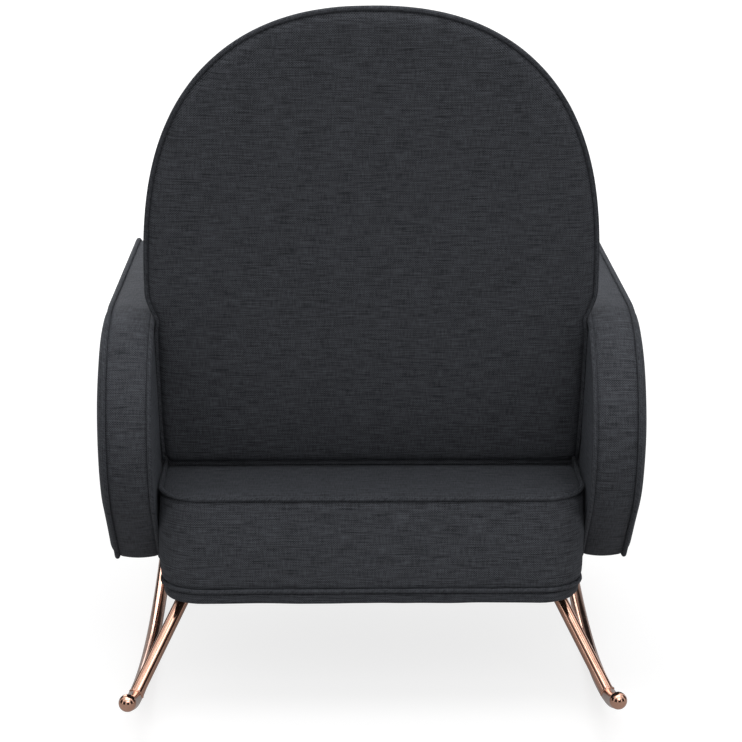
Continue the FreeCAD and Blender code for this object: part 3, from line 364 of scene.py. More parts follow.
stitch_thread = hidden_cloth("stitching_thread", (0.05, 0.052, 0.058), (0.12, 0.125, 0.135),
                             0.0006)

SLOT_FINISHES = {
    "charcoal_cloth": charcoal, "piping_cloth": piping_cloth, "rose_gold": rose_gold,
    "black_steel": black_steel, "zinc_steel": zinc_steel, "spring_steel": spring_steel,
    "frame_wood": frame_wood, "dust_cloth": dust_cloth, "strap_webbing": webbing,
    "zip_tape": zip_tape, "zip_metal": dark_brass,
}
for label, finish_word in (
        ("rocker_rail", "rose_gold"), ("ball_end", "rose_gold"), ("leg_plate_screws", "zinc_steel"),
        ("leg_plate", "black_steel"), ("leg_", "rose_gold"), ("seat_spring", "spring_steel"),
        ("spring_clips", "zinc_steel"), ("arm_bolts", "zinc_steel"), ("arm_frame", "frame_wood"),
        ("back_frame", "frame_wood"), ("back_post", "frame_wood"), ("lumbar_rail", "frame_wood"),
        ("base_cross", "frame_wood"), ("base_front_board", "frame_wood"),
        ("base_rear_board", "frame_wood"), ("base_side_board", "frame_wood"),
        ("dust_cover", "dust_cloth"), ("back_straps", "strap_webbing"),
        ("cushion_zip", "zip_tape"), ("zip_slider", "zip_metal")):
    for node_name, node in nodes.items():
        if node_name.startswith(label) and not node.get("finished"):
            node.data.materials.clear()
            node.data.materials.append(SLOT_FINISHES[finish_word])
            node["finished"] = 1

# ---------------------------------------------------------------- making meshes


def cloth_builder():
    builder = bmesh.new()
    return builder, builder.loops.layers.uv.new("cloth")


def placed(name, mesh):
    piece = bpy.data.objects.new(name, mesh)
    scene.collection.objects.link(piece)
    return piece


def loose_piece(builder, name):
    """Turn a bmesh into an object with its faces pointing outwards."""
    mesh = bpy.data.meshes.new(name)
    bmesh.ops.recalc_face_normals(builder, faces=builder.faces)
    builder.to_mesh(mesh)
    builder.free()
    return placed(name, mesh)


def finish_piece(builder, name, finish, body, replaced=()):
    """Turn a bmesh into a piece of the chair that rides on a body."""
    return dress(loose_piece(builder, name), finish, body, replaced)


def cover_piece(builder, name, replaced=()):
    return finish_piece(builder, name, charcoal, "chair", replaced)


def with_modifiers_applied(piece):
    """Put what the modifiers make in the place of the piece's mesh."""
    graph = bpy.context.evaluated_depsgraph_get()
    mesh = bpy.data.meshes.new_from_object(piece.evaluated_get(graph))
    piece.modifiers.clear()
    piece.data = mesh
    return mesh


def dress(piece, finish, body, replaced=()):
    piece.data.materials.clear()
    piece.data.materials.append(finish)
    piece.data.polygons.foreach_set("use_smooth", [True] * len(piece.data.polygons))
    if replaced:
        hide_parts(*replaced)
    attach(piece, body)
    return piece


def add_loops(builder, layer, loops, laid, wraps=True):
    """Join rows of points into a skin; laid gives each point's place on the cloth."""
    rows = [[builder.verts.new(p) for p in loop] for loop in loops]
    count = len(loops[0])
    for low, high, low_laid, high_laid in zip(rows, rows[1:], laid, laid[1:]):
        for step in range(count if wraps else count - 1):
            after = (step + 1) % count
            corners = [low[step], low[after], high[after], high[step]]
            spots = [low_laid[step], low_laid[step + 1] if len(low_laid) > count else
                     low_laid[after], high_laid[step + 1] if len(high_laid) > count else
                     high_laid[after], high_laid[step]]
            try:
                face = builder.faces.new(corners)
            except ValueError:
                continue
            for loop, spot in zip(face.loops, spots):
                loop[layer].uv = spot
    return rows


def ring_lengths(points):
    """Distance along a closed row of points, with the whole length last."""
    lengths = [0.0]
    for step in range(len(points)):
        lengths.append(lengths[-1] + (Vector(points[(step + 1) % len(points)])
                                      - Vector(points[step])).length)
    return lengths


def arc_points(middle, radius, start, end, steps):
    """Points on an arc, angles in degrees, the last one left out."""
    made = []
    for step in range(steps):
        angle = math.radians(start + (end - start) * step / steps)
        made.append((middle[0] + radius * math.cos(angle), middle[1] + radius * math.sin(angle)))
    return made


def line_points(first, last, steps):
    wide, high = last[0] - first[0], last[1] - first[1]
    return [(first[0] + wide * s / steps, first[1] + high * s / steps) for s in range(steps)]


def rounded_outline(low, high, corner, inset=0.0, spacing=0.012):
    """Closed plan outline of a rounded rectangle, as (X, Y) points."""
    left, right = low[0] + inset, high[0] - inset
    front, rear = low[1] + inset, high[1] - inset
    turn = max(corner - inset, 0.004)
    side = max(2, round((rear - front - 2 * turn) / spacing))
    cross = max(2, round((right - left - 2 * turn) / spacing))
    points = []
    points += line_points((right, front + turn), (right, rear - turn), side)
    points += arc_points((right - turn, rear - turn), turn, 0, 90, 10)
    points += line_points((right - turn, rear), (left + turn, rear), cross)
    points += arc_points((left + turn, rear - turn), turn, 90, 180, 10)
    points += line_points((left, rear - turn), (left, front + turn), side)
    points += arc_points((left + turn, front + turn), turn, 180, 270, 10)
    points += line_points((left + turn, front), (right - turn, front), cross)
    points += arc_points((right - turn, front + turn), turn, 270, 360, 10)
    return points


def outward_at(outline, step):
    """Which way is out of a closed plan outline at one of its points."""
    before, after = outline[step - 1], outline[(step + 1) % len(outline)]
    return Vector((after[1] - before[1], before[0] - after[0])).normalized()


def nearest_on(spine, point):
    first, last = Vector(spine[0]), Vector(spine[1])
    way = last - first
    share = max(0.0, min(1.0, (Vector(point) - first).dot(way) / way.length_squared))
    return first + way * share


def flat(x, y, z):
    return (x, y, z)


def panel_loops(outline, spine, rise, place, rows=26, power=1.9):
    """Rows from an outline in to a spine line; rise(distance in, share) lifts the skin."""
    loops, laid = [], []
    middles = [nearest_on(spine, p) for p in outline]
    for row in range(rows + 1):
        share = (row / rows) ** power
        loop, spots = [], []
        for point, middle in zip(outline, middles):
            spot = Vector(point).lerp(middle, share)
            inward = (middle - Vector(point)).length * share
            loop.append(place(spot.x, spot.y, rise(inward, share, spot)))
            spots.append((spot.x, spot.y))
        loops.append(loop)
        laid.append(spots)
    return loops, laid


def padded_panel(name, face, under, replaced):
    """A closed panel from its outer skin's rows and its hidden face's rows."""
    builder, layer = cloth_builder()
    add_loops(builder, layer, list(reversed(face[0])) + under[0],
              list(reversed(face[1])) + under[1])
    weld_skins(builder)
    cover_piece(builder, name, replaced)


def soft_noise(place, size, seed=0.0):
    """Smooth unevenness from -1 to 1 with features of about that size."""
    return noise.noise(Vector(place) / size + Vector((seed, 1.7 * seed, 0.6 * seed)))


def piping_cord(name, path, radius, closed, replaced, body="chair", seed=0.0,
                flange=None):
    """A cloth-covered cord along a path, slightly uneven as hand-sewn piping is."""
    builder, layer = cloth_builder()
    points = [Vector(p) for p in path]
    count = len(points)
    sides = 12
    loops, laid = [], []
    travelled = 0.0
    steps = list(range(count)) + ([0] if closed else [])
    frame_normal = None
    for order, step in enumerate(steps):
        before = points[(step - 1) % count] if (closed or step > 0) else points[step]
        after = points[(step + 1) % count] if (closed or step < count - 1) else points[step]
        way = (after - before).normalized()
        if frame_normal is None:
            frame_normal = way.orthogonal().normalized()
            if flange is not None:
                frame_normal = (Vector(flange) - way * Vector(flange).dot(way)).normalized()
        frame_normal = (frame_normal - way * frame_normal.dot(way)).normalized()
        side = way.cross(frame_normal)
        if order:
            travelled += (points[step] - points[steps[order - 1]]).length
        swell = 1.0 + 0.05 * soft_noise(points[step], 0.03, seed)
        if not closed:
            reach = min(order, len(steps) - 1 - order)
            swell *= min(1.0, 0.72 + 0.14 * reach)
        loop, spots = [], []
        for corner in range(sides):
            angle = 2 * math.pi * corner / sides
            loop.append(points[step] + (frame_normal * math.cos(angle) + side * math.sin(angle))
                        * radius * swell)
            spots.append((travelled, radius * angle))
        spots.append((travelled, radius * 2 * math.pi))
        loops.append(loop)
        laid.append(spots)
    if closed:
        rows = add_loops(builder, layer, loops[:-1], laid[:-1])
        close_ring(builder, layer, rows[-1], rows[0], laid[-2], laid[-1])
    else:
        rows = add_loops(builder, layer, loops, laid)
        for row in (rows[0], rows[-1]):
            face = builder.faces.new(row)
            for loop in face.loops:
                loop[layer].uv = (0, 0)
    return finish_piece(builder, name, piping_cloth, body, replaced)


WELD = 0.00002


def weld_skins(builder):
    bmesh.ops.remove_doubles(builder, verts=builder.verts, dist=WELD)


# ---------------------------------------------------------------- sizes read off the frame

base_low, base_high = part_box("base_cover")
lower_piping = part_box("base_piping_lower")
upper_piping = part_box("base_piping_upper")
roll_low, roll_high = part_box("base_lower_roll")
deck_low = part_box("deck_pad")[0]
cushion_low, cushion_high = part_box("seat_cushion")
inner_arm_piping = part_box("arm_piping_inner_left")
outer_arm_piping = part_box("arm_piping_outer_left")
band_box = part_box("arm_band_left")
PIPING = (upper_piping[1].z - upper_piping[0].z) / 2
BASE_CORNER = 0.065
CUSHION_CORNER = 0.055

# ---------------------------------------------------------------- seat base


def base_wall():
    """The padded wall between the two pipings, one strip of cloth all round."""
    outline = rounded_outline(base_low, base_high, BASE_CORNER, inset=0.0005, spacing=0.010)
    inner = rounded_outline(base_low, base_high, BASE_CORNER, inset=0.0125, spacing=0.010)
    count = len(outline)
    lengths = ring_lengths([(x, y, 0) for x, y in outline])
    tuck = 0.0045
    low, high = base_low.z - tuck, base_high.z + tuck * 0.6
    rows = 34
    builder, layer = cloth_builder()
    loops, laid = [], []
    for row in range(rows + 1):
        share = row / rows
        z = low + (high - low) * share
        fullness = min(1.0, min(share, 1 - share) / 0.09)
        fullness = math.sin(fullness * math.pi / 2)
        loop = []
        for step, (x, y) in enumerate(outline):
            out = outward_at(outline, step)
            crown = 0.0035 * math.sin(math.pi * share) + 0.0022 * fullness - 0.0030
            crease = soft_noise((x, y, z * 2.2), 0.055, 4.0) * 0.0016 * (share ** 2)
            crease += soft_noise((x * 0.4, y * 0.4, z), 0.045, 9.0) * 0.0012
            pull = -0.0040 * math.exp(-((1 - share) / 0.028) ** 2)
            pull -= 0.0040 * math.exp(-(share / 0.03) ** 2)
            grow = crown + crease * fullness + pull
            loop.append((x + out.x * grow, y + out.y * grow, z))
        loops.append(loop)
        laid.append([(length, z) for length in lengths])
    backing = []
    for z in (high, low):
        backing.append([(x, y, z) for x, y in inner_on(outline, inner)])
    top_laid = [(length, high + 0.012) for length in lengths]
    low_laid = [(length, low - 0.012) for length in lengths]
    rows_made = add_loops(builder, layer, loops + backing, laid + [top_laid, low_laid])
    close_ring(builder, layer, rows_made[-1], rows_made[0], low_laid, laid[0])
    cover_piece(builder, "base_wall_cover", ["base_cover"])


def inner_on(outline, inner):
    """For each outline point, the point of the inner outline with the same order."""
    if len(inner) == len(outline):
        return inner
    return [min(inner, key=lambda q: (q[0] - p[0]) ** 2 + (q[1] - p[1]) ** 2) for p in outline]


def close_ring(builder, layer, last, first, last_laid, first_laid):
    count = len(last)
    for step in range(count):
        after = (step + 1) % count
        try:
            face = builder.faces.new([last[step], last[after], first[after], first[step]])
        except ValueError:
            continue
        for loop, spot in zip(face.loops, (last_laid[step], last_laid[step + 1],
                                           first_laid[step + 1], first_laid[step])):
            loop[layer].uv = spot


def base_roll():
    """The cloth below the lower piping, rolled under the frame."""
    outline = rounded_outline(roll_low, roll_high, BASE_CORNER - 0.004, inset=0.0, spacing=0.010)
    count = len(outline)
    lengths = ring_lengths([(x, y, 0) for x, y in outline])
    section = [(0.0015, roll_high.z), (0.0003, roll_high.z - 0.003), (0.0, roll_high.z - 0.007),
               (0.0008, roll_low.z + 0.0040), (0.0030, roll_low.z + 0.0014),
               (0.0060, roll_low.z + 0.0002), (0.0090, roll_low.z + 0.0006),
               (0.0090, roll_high.z - 0.004)]
    builder, layer = cloth_builder()
    loops, laid = [], []
    run = 0.0
    for order, (inset, z) in enumerate(section):
        if order:
            run -= math.hypot(inset - section[order - 1][0], z - section[order - 1][1])
        loop = []
        for step, (x, y) in enumerate(outline):
            out = outward_at(outline, step)
            pleat = 0.0009 * soft_noise((x, y, 0), 0.035, 2.0) * (order / len(section))
            loop.append((x - out.x * (inset + pleat), y - out.y * (inset + pleat),
                         z + 0.0008 * soft_noise((x, y, 0), 0.05, 6.0) * (0 < order < 6)))
        loops.append(loop)
        laid.append([(length, 0.2 + run) for length in lengths])
    rows_made = add_loops(builder, layer, loops, laid)
    close_ring(builder, layer, rows_made[-1], rows_made[0], laid[-1], laid[0])
    cover_piece(builder, "base_rolled_edge", ["base_lower_roll"])


def deck_panel():
    """The padded deck under the cushion, with its ledge behind the back."""
    edge = 0.0065
    low = Vector((upper_piping[0].x + edge, upper_piping[0].y + edge))
    high = Vector((upper_piping[1].x - edge, upper_piping[1].y - edge))
    outline = rounded_outline(low, high, BASE_CORNER - edge, spacing=0.010)
    top = upper_piping[1].z
    ledge_middle = 0.236

    def rise(inward, share, spot):
        lift = 0.0050 * (1 - math.exp(-inward / 0.007)) - 0.0048
        lift += 0.0007 * soft_noise((spot.x, spot.y, 0), 0.06, 3.0)
        behind = math.exp(-((spot.y - ledge_middle) / 0.045) ** 2)
        return top - 0.0012 + lift + 0.0004 * behind

    spine = ((-0.15, (low.y + high.y) / 2), (0.15, (low.y + high.y) / 2))
    face = panel_loops(outline, spine, rise, flat, rows=30)
    under = panel_loops(outline, spine, lambda i, s, p: deck_low.z + 0.001, flat, rows=3)
    padded_panel("deck_cover", face, under, ["deck_pad"])


def base_pipings():
    for word, box in (("lower", lower_piping), ("upper", upper_piping)):
        outline = rounded_outline(box[0], box[1], BASE_CORNER + 0.001, inset=PIPING,
                                  spacing=0.008)
        z = (box[0].z + box[1].z) / 2
        path = []
        for x, y in outline:
            sag = 0.0012 * soft_noise((x, y, 0), 0.09, 12.0 if word == "upper" else 5.0)
            path.append((x, y, z + sag))
        piping_cord(f"base_piping_{word}_cloth", path, PIPING, True, [f"base_piping_{word}"],
                    seed=2.0 if word == "upper" else 7.0)


base_wall()
base_roll()
deck_panel()
base_pipings()

# ---------------------------------------------------------------- arms

ARM_TOP, ARM_BOTTOM = inner_arm_piping[1].z, inner_arm_piping[0].z
ARM_REAR, ARM_FRONT = inner_arm_piping[1].y, inner_arm_piping[0].y
REAR_TURN, FRONT_TURN, TOE_TURN = 0.172, 0.110, 0.022
REAR_SLANT, FRONT_SLANT = math.radians(45), math.radians(25)


def arm_outline(inset, spacing=0.008):
    """The arm's side outline as (Y, Z) points: flat top, curved ends, slanted lower edges."""
    rear_turn, front_turn = REAR_TURN - inset, FRONT_TURN - inset
    toe = max(TOE_TURN - inset, 0.004)
    top, bottom = ARM_TOP - inset, ARM_BOTTOM + inset
    rear_middle = Vector((ARM_REAR - REAR_TURN, top - rear_turn))
    front_middle = Vector((ARM_FRONT + FRONT_TURN, top - front_turn))

    def toe_middle(middle, turn, down, out):
        start = middle + out * (turn - toe)
        return start + down * ((bottom + toe - start.y) / down.y)

    rear_toe = toe_middle(rear_middle, rear_turn,
                          Vector((-math.sin(REAR_SLANT), -math.cos(REAR_SLANT))),
                          Vector((math.cos(REAR_SLANT), -math.sin(REAR_SLANT))))
    front_toe = toe_middle(front_middle, front_turn,
                           Vector((math.sin(FRONT_SLANT), -math.cos(FRONT_SLANT))),
                           Vector((-math.cos(FRONT_SLANT), -math.sin(FRONT_SLANT))))

    def on_circle(middle, turn, degrees):
        angle = math.radians(degrees)
        return (middle.x + turn * math.cos(angle), middle.y + turn * math.sin(angle))

    rear_deg, front_deg = math.degrees(REAR_SLANT), 180 + math.degrees(FRONT_SLANT)
    points = []
    points += arc_points(rear_middle, rear_turn, -rear_deg, 90, 44)
    points += line_points(on_circle(rear_middle, rear_turn, 90),
                          on_circle(front_middle, front_turn, 90), 50)
    points += arc_points(front_middle, front_turn, 90, front_deg, 26)
    points += line_points(on_circle(front_middle, front_turn, front_deg),
                          on_circle(front_toe, toe, front_deg), 18)
    points += arc_points(front_toe, toe, front_deg, 270, 8)
    points += line_points(on_circle(front_toe, toe, 270), on_circle(rear_toe, toe, 270), 46)
    points += arc_points(rear_toe, toe, 270, 360 - rear_deg, 8)
    points += line_points(on_circle(rear_toe, toe, -rear_deg),
                          on_circle(rear_middle, rear_turn, -rear_deg), 12)
    return points


def arm_pieces(side, word):
    """One arm's band, two side panels and two pipings; side is 1 or -1."""
    inner_x = (inner_arm_piping[0].x + inner_arm_piping[1].x) / 2
    outer_x = (outer_arm_piping[0].x + outer_arm_piping[1].x) / 2
    band_in, band_out = band_box[0].x - 0.0028, band_box[1].x + 0.0028
    seed = 3.0 if side > 0 else 11.0

    # the band over the edge of the arm
    builder, layer = cloth_builder()
    across_steps = 18
    base_profile = arm_outline(0.0035)
    lengths = ring_lengths([(y, z, 0) for y, z in base_profile])
    loops, laid = [], []
    for step in range(across_steps + 1):
        share = step / across_steps
        x = band_in + (band_out - band_in) * share
        edge = min(share, 1 - share)
        crown = 0.0040 * math.sin(math.pi * share) ** 0.8 - 0.0022
        crown -= 0.0018 * math.exp(-(edge / 0.05) ** 2)
        loop = []
        for y, z in arm_outline(0.0035 - crown):
            uneven = 0.0007 * soft_noise((x * side, y, z), 0.05, seed)
            loop.append((side * (x + uneven * 0.3), y + uneven, z + uneven * 0.7))
        loops.append(loop)
        laid.append([(x * side, length) for length in lengths])
    for x in (band_out - 0.003, band_in + 0.003):
        loops.append([(side * x, y, z) for y, z in arm_outline(0.0128)])
        laid.append([(x * side + 0.02, length) for length in lengths])
    rows = add_loops(builder, layer, loops, laid)
    close_ring(builder, layer, rows[-1], rows[0], laid[-1], laid[0])
    cover_piece(builder, f"arm_band_cloth_{word}", [f"arm_band_{word}"])

    # the two upholstered sides
    spine = ((-0.20, 0.425), (0.13, 0.435))
    for place_word, seam_x, out_way, puff in (("inner", inner_x, -1, 0.0016),
                                              ("outer", outer_x, 1, 0.0125)):
        outline = arm_outline(0.0058)

        def rise(inward, share, spot):
            lift = 0.0020 * (1 - math.exp(-inward / 0.006))
            lift += puff * (1 - math.exp(-inward / 0.009))
            lift += 0.0006 * soft_noise((spot.x, spot.y, 0), 0.07, seed + puff * 500)
            return seam_x + out_way * (lift - 0.0022)

        def on_side(y, z, x):
            return (side * x, y, z)

        face = panel_loops(outline, spine, rise, on_side, rows=24)
        inner_face = seam_x - out_way * 0.011
        under = panel_loops(arm_outline(0.0145), spine, lambda i, s, p: inner_face, on_side,
                            rows=3)
        padded_panel(f"arm_side_{place_word}_{word}", face, under,
                     [f"arm_{place_word}_panel_{word}"])

    for place_word, x in (("inner", inner_x), ("outer", outer_x)):
        path = [(side * x, y, z) for y, z in arm_outline(PIPING)]
        piping_cord(f"arm_piping_{place_word}_cloth_{word}", path, PIPING, True,
                    [f"arm_piping_{place_word}_{word}"], seed=seed + x)


arm_pieces(1, "left")
arm_pieces(-1, "right")

# ---------------------------------------------------------------- back

BACK_FOOT = Vector((0, 0.152, 0.355))
RECLINE = math.radians(17)
ARCH_START, ARCH_RISE = 0.260, 0.480
UP_POWER, ACROSS_POWER = 2.9, 2.3
WAIST, SPREAD = 0.3172, 0.327
WAIST_TOP, FLARE = 0.252, 0.045
PINCH_UP, PINCH_HIGH, PINCH = 0.249, 0.011, 0.0038
FOOT_PULL = 0.0030
PAD_LOW = 0.0003


def on_back(x, up, deep):
    """A point of the back: across, up the back, and forward of the piping's plane."""
    return Vector((x, BACK_FOOT.y - deep * math.cos(RECLINE) + up * math.sin(RECLINE),
                   BACK_FOOT.z + deep * math.sin(RECLINE) + up * math.cos(RECLINE)))


def half_width(up, inset=0.0):
    """Half the back's width at a height, drawn in to the waist between the arms."""
    share = min(max((up - ARCH_START) / (ARCH_RISE - inset), 0.0), 1.0)
    wide = (SPREAD - inset) * (1 - share ** UP_POWER) ** (1 / ACROSS_POWER)
    flare = min(max((up - WAIST_TOP) / FLARE, 0.0), 1.0)
    waist = WAIST - FOOT_PULL * max(0.0, 1 - up / 0.12) ** 2
    waist -= PINCH * math.exp(-((up - PINCH_UP) / PINCH_HIGH) ** 2)
    return waist - inset + (wide - waist + inset) * flare * flare * (3 - 2 * flare)


def back_outline(inset, corner=0.012):
    """Closed outline as (across, up) points: right side, arch, left side, foot."""
    low = PAD_LOW + inset * 0.8
    turn = max(corner, 0.004)
    side_steps, arch_steps, corner_steps, foot_steps = 44, 60, 5, 48
    side_top = WAIST_TOP + FLARE
    upper = []
    for step in range(side_steps):
        up = low + turn + (side_top - low - turn) * step / side_steps
        upper.append((half_width(up, inset), up))
    rise = ARCH_RISE - inset
    first = math.asin(((side_top - ARCH_START) / rise) ** (UP_POWER / 2))
    for step in range(arch_steps):
        angle = first + (math.pi / 2 - first) * step / arch_steps
        up = ARCH_START + rise * math.sin(angle) ** (2 / UP_POWER)
        upper.append((half_width(up, inset), up))
    top = [(0.0, ARCH_START + rise)]
    points = upper + top + [(-x, up) for x, up in reversed(upper)]
    wide_low = half_width(low + turn, inset)
    points += arc_points((-wide_low + turn, low + turn), turn, 180, 270, corner_steps)[1:]
    points += line_points((-wide_low + turn, low), (wide_low - turn, low), foot_steps)
    points += arc_points((wide_low - turn, low + turn), turn, 270, 360, corner_steps)
    return points


def even_spacing(points, spacing=None, count=None):
    """The same closed line with points at even distances, or with that many of them."""
    lengths = ring_lengths([(a, b, 0) for a, b in points])
    total = lengths[-1]
    count = count or max(8, round(total / spacing))
    made, segment = [], 0
    for order in range(count):
        target = total * order / count
        while lengths[segment + 1] < target:
            segment += 1
        share = (target - lengths[segment]) / max(lengths[segment + 1] - lengths[segment], 1e-9)
        a, b = points[segment % len(points)], points[(segment + 1) % len(points)]
        made.append((a[0] + (b[0] - a[0]) * share, a[1] + (b[1] - a[1]) * share))
    return made


def back_rear_panel():
    """The cloth over the rear of the back: a soft roll beside the piping, then a low crown."""
    outline = even_spacing(back_outline(0.0062), 0.0095)
    spine = ((0.0, 0.30), (0.0, 0.43))

    def rise(inward, share, spot):
        roll = 0.0085 * (1 - math.exp(-inward / 0.0055))
        crown = 0.0045 * (1 - math.exp(-inward / 0.085))
        uneven = 0.0009 * soft_noise((spot.x, spot.y, 0), 0.11, 5.0)
        uneven += 0.0004 * soft_noise((spot.x, spot.y * 0.5, 0), 0.04, 8.0)
        return -(roll + crown + uneven * min(1.0, inward / 0.03)) + 0.0010

    face = panel_loops(outline, spine, rise, on_back, rows=34)
    under = panel_loops(outline, spine, lambda i, s, p: 0.0035, on_back, rows=3)
    padded_panel("back_rear_cover", face, under, ["back_rear_pad"])


SWELL_FRAMES = 20


def swell(piece, voxel, pressure, cap, freedom):
    """Blow the piece up a little as stuffed cloth; freedom(point) is 0 at a seam and 1 away."""
    remesh = piece.modifiers.new("even_mesh", "REMESH")
    remesh.mode = "VOXEL"
    remesh.voxel_size = voxel
    even = with_modifiers_applied(piece)
    rest = [v.co.copy() for v in even.vertices]
    cloth = piece.modifiers.new("stuffing", "CLOTH")
    cloth.settings.quality = 4
    cloth.settings.mass = 0.25
    cloth.settings.tension_stiffness = 12
    cloth.settings.compression_stiffness = 12
    cloth.settings.shear_stiffness = 6
    cloth.settings.bending_stiffness = 0.6
    cloth.settings.use_pressure = True
    cloth.settings.uniform_pressure_force = pressure
    cloth.settings.effector_weights.gravity = 0.0
    cloth.collision_settings.use_collision = False
    cloth.collision_settings.use_self_collision = False
    cloth.point_cache.frame_start = 1
    cloth.point_cache.frame_end = SWELL_FRAMES
    for number in range(1, SWELL_FRAMES + 1):
        scene.frame_set(number)
    graph = bpy.context.evaluated_depsgraph_get()
    swollen = piece.evaluated_get(graph).to_mesh()
    moved = [v.co.copy() for v in swollen.vertices]
    piece.evaluated_get(graph).to_mesh_clear()
    piece.modifiers.clear()
    scene.frame_set(1)
    for vertex, start, end in zip(even.vertices, rest, moved):
        shift = end - start
        if shift.length > cap:
            shift *= cap / shift.length
        vertex.co = start + shift * freedom(start)
    even.update()
    return piece


def lay_cloth(piece, turn):
    """Give a piece cloth coordinates in metres, laid flat on whichever way each face points."""
    mesh = piece.data
    layer = mesh.uv_layers.get("cloth") or mesh.uv_layers.new(name="cloth")
    for polygon in mesh.polygons:
        way = turn @ polygon.normal
        for index in polygon.loop_indices:
            spot = turn @ mesh.vertices[mesh.loops[index].vertex_index].co
            if abs(way.y) >= abs(way.x) and abs(way.y) >= abs(way.z):
                layer.data[index].uv = (spot.x, spot.z)
            elif abs(way.x) >= abs(way.z):
                layer.data[index].uv = (spot.y, spot.z)
            else:
                layer.data[index].uv = (spot.x, spot.y)


def subdivided(piece):
    finer = piece.modifiers.new("finer", "SUBSURF")
    finer.levels = finer.render_levels = 1
    with_modifiers_applied(piece)


def back_front_cushion():
    """The padded front of the back, one closed form from the piping forward."""
    builder, layer = cloth_builder()
    profile = [(0.0080, 0.0035), (0.0070, 0.0045), (0.0088, 0.010), (0.0175, 0.030),
               (0.0290, 0.055), (0.0410, 0.078), (0.0520, 0.096), (0.0640, 0.106),
               (0.0820, 0.1105)]
    loops = []
    for inset, deep in profile:
        outline = even_spacing(back_outline(inset, corner=0.012 + inset * 0.3), 0.0095)
        loops.append(outline)
    count = len(loops[0])
    loops = [even_spacing(loop, count=count) for loop in loops]
    spine = ((0.0, 0.30), (0.0, 0.43))
    skins = []
    for loop, (inset, deep) in zip(loops, profile):
        skins.append([on_back(a, max(b, PAD_LOW), deep) for a, b in loop])
    inward, _ = panel_loops(loops[-1], spine,
                            lambda i, s, p: 0.1105 + 0.006 * (1 - math.exp(-i / 0.10)),
                            on_back, rows=14, power=1.2)
    rear, _ = panel_loops(loops[0], spine, lambda i, s, p: 0.0035,
                          on_back, rows=8, power=1.2)
    order = list(reversed(rear)) + skins[1:] + inward[1:]
    add_loops(builder, layer, order, [[(0, 0)] * count for _ in order])
    weld_skins(builder)
    piece = loose_piece(builder, "back_front_cover")
    lean = Matrix.Rotation(RECLINE, 3, "X")

    def freedom(point):
        local = lean @ (point - BACK_FOOT)
        deep = -local.y
        return max(0.0, min(1.0, (deep - 0.012) / 0.05))

    swell(piece, 0.0075, 3.0, 0.006, freedom)
    subdivided(piece)
    lay_cloth(piece, lean)
    dress(piece, charcoal, "chair", ["back_border", "back_front_pad"])


def back_welt():
    """One piping from the foot of the back, over the arch and down again."""
    points = back_outline(PIPING)
    top_count = len([p for p in points if p[1] > PAD_LOW + PIPING * 0.8 + 0.0125])
    path = [on_back(a, b, 0.0) for a, b in points[:top_count]]
    foot_x = points[0][0] - 0.0005
    path = [on_back(foot_x, PAD_LOW + 0.0055, 0.0)] + path \
        + [on_back(-foot_x, PAD_LOW + 0.0055, 0.0)]
    piping_cord("back_piping_cloth", path, PIPING, False, ["back_piping"], seed=1.0,
                flange=(0, 1, 0))


def back_tuck():
    """The cloth pulled down between the foot of the back and the deck."""
    builder, layer = cloth_builder()
    half, low, high = 0.304, upper_piping[1].z + 0.0004, 0.010
    columns = 60
    for face_deep in (0.0060, 0.0100):
        loops, laid = [], []
        for row in range(5):
            share = row / 4
            loop, spots = [], []
            for column in range(columns + 1):
                x = -half + 2 * half * column / columns
                top = on_back(x, high, face_deep)
                fold = 0.0010 * soft_noise((x, 0, share * 0.02), 0.03, 6.0) * (1 - share)
                loop.append((x, top.y + fold, low + (top.z - low) * share))
                spots.append((x, (top.z - low) * share))
            loops.append(loop)
            laid.append(spots)
        add_loops(builder, layer, loops, laid, wraps=False)
    bmesh.ops.remove_doubles(builder, verts=builder.verts, dist=0.00001)
    rims = [e for e in builder.edges if e.is_boundary]
    bmesh.ops.bridge_loops(builder, edges=rims)
    cover_piece(builder, "back_tuck_cloth")


back_rear_panel()
back_front_cushion()
back_welt()
back_tuck()

# ---------------------------------------------------------------- seat cushion


def laid_on_edge(cover, path, middle, rise, gap):
    """Lay a closed path on a cover's edge, met from outside and from above or below."""
    mesh = cover.data
    skin = BVHTree.FromPolygons([point.co for point in mesh.vertices],
                                [face.vertices for face in mesh.polygons])
    laid = []
    count = len(path)
    for step, place in enumerate(path):
        before, after = path[step - 1], path[(step + 1) % count]
        outward = Vector((after[1] - before[1], before[0] - after[0], 0)).normalized()
        if outward.dot(Vector(place) - middle) < 0:
            outward = -outward
        away = (outward + Vector((0, 0, rise))).normalized()
        place = Vector(place)
        met = skin.ray_cast(place + away * 0.03, -away, 0.06)[0]
        laid.append(met + away * gap if met else place)
    for _ in range(3):
        laid = [(laid[step - 1] + place * 2 + laid[(step + 1) % count]) / 4
                for step, place in enumerate(laid)]
    return laid


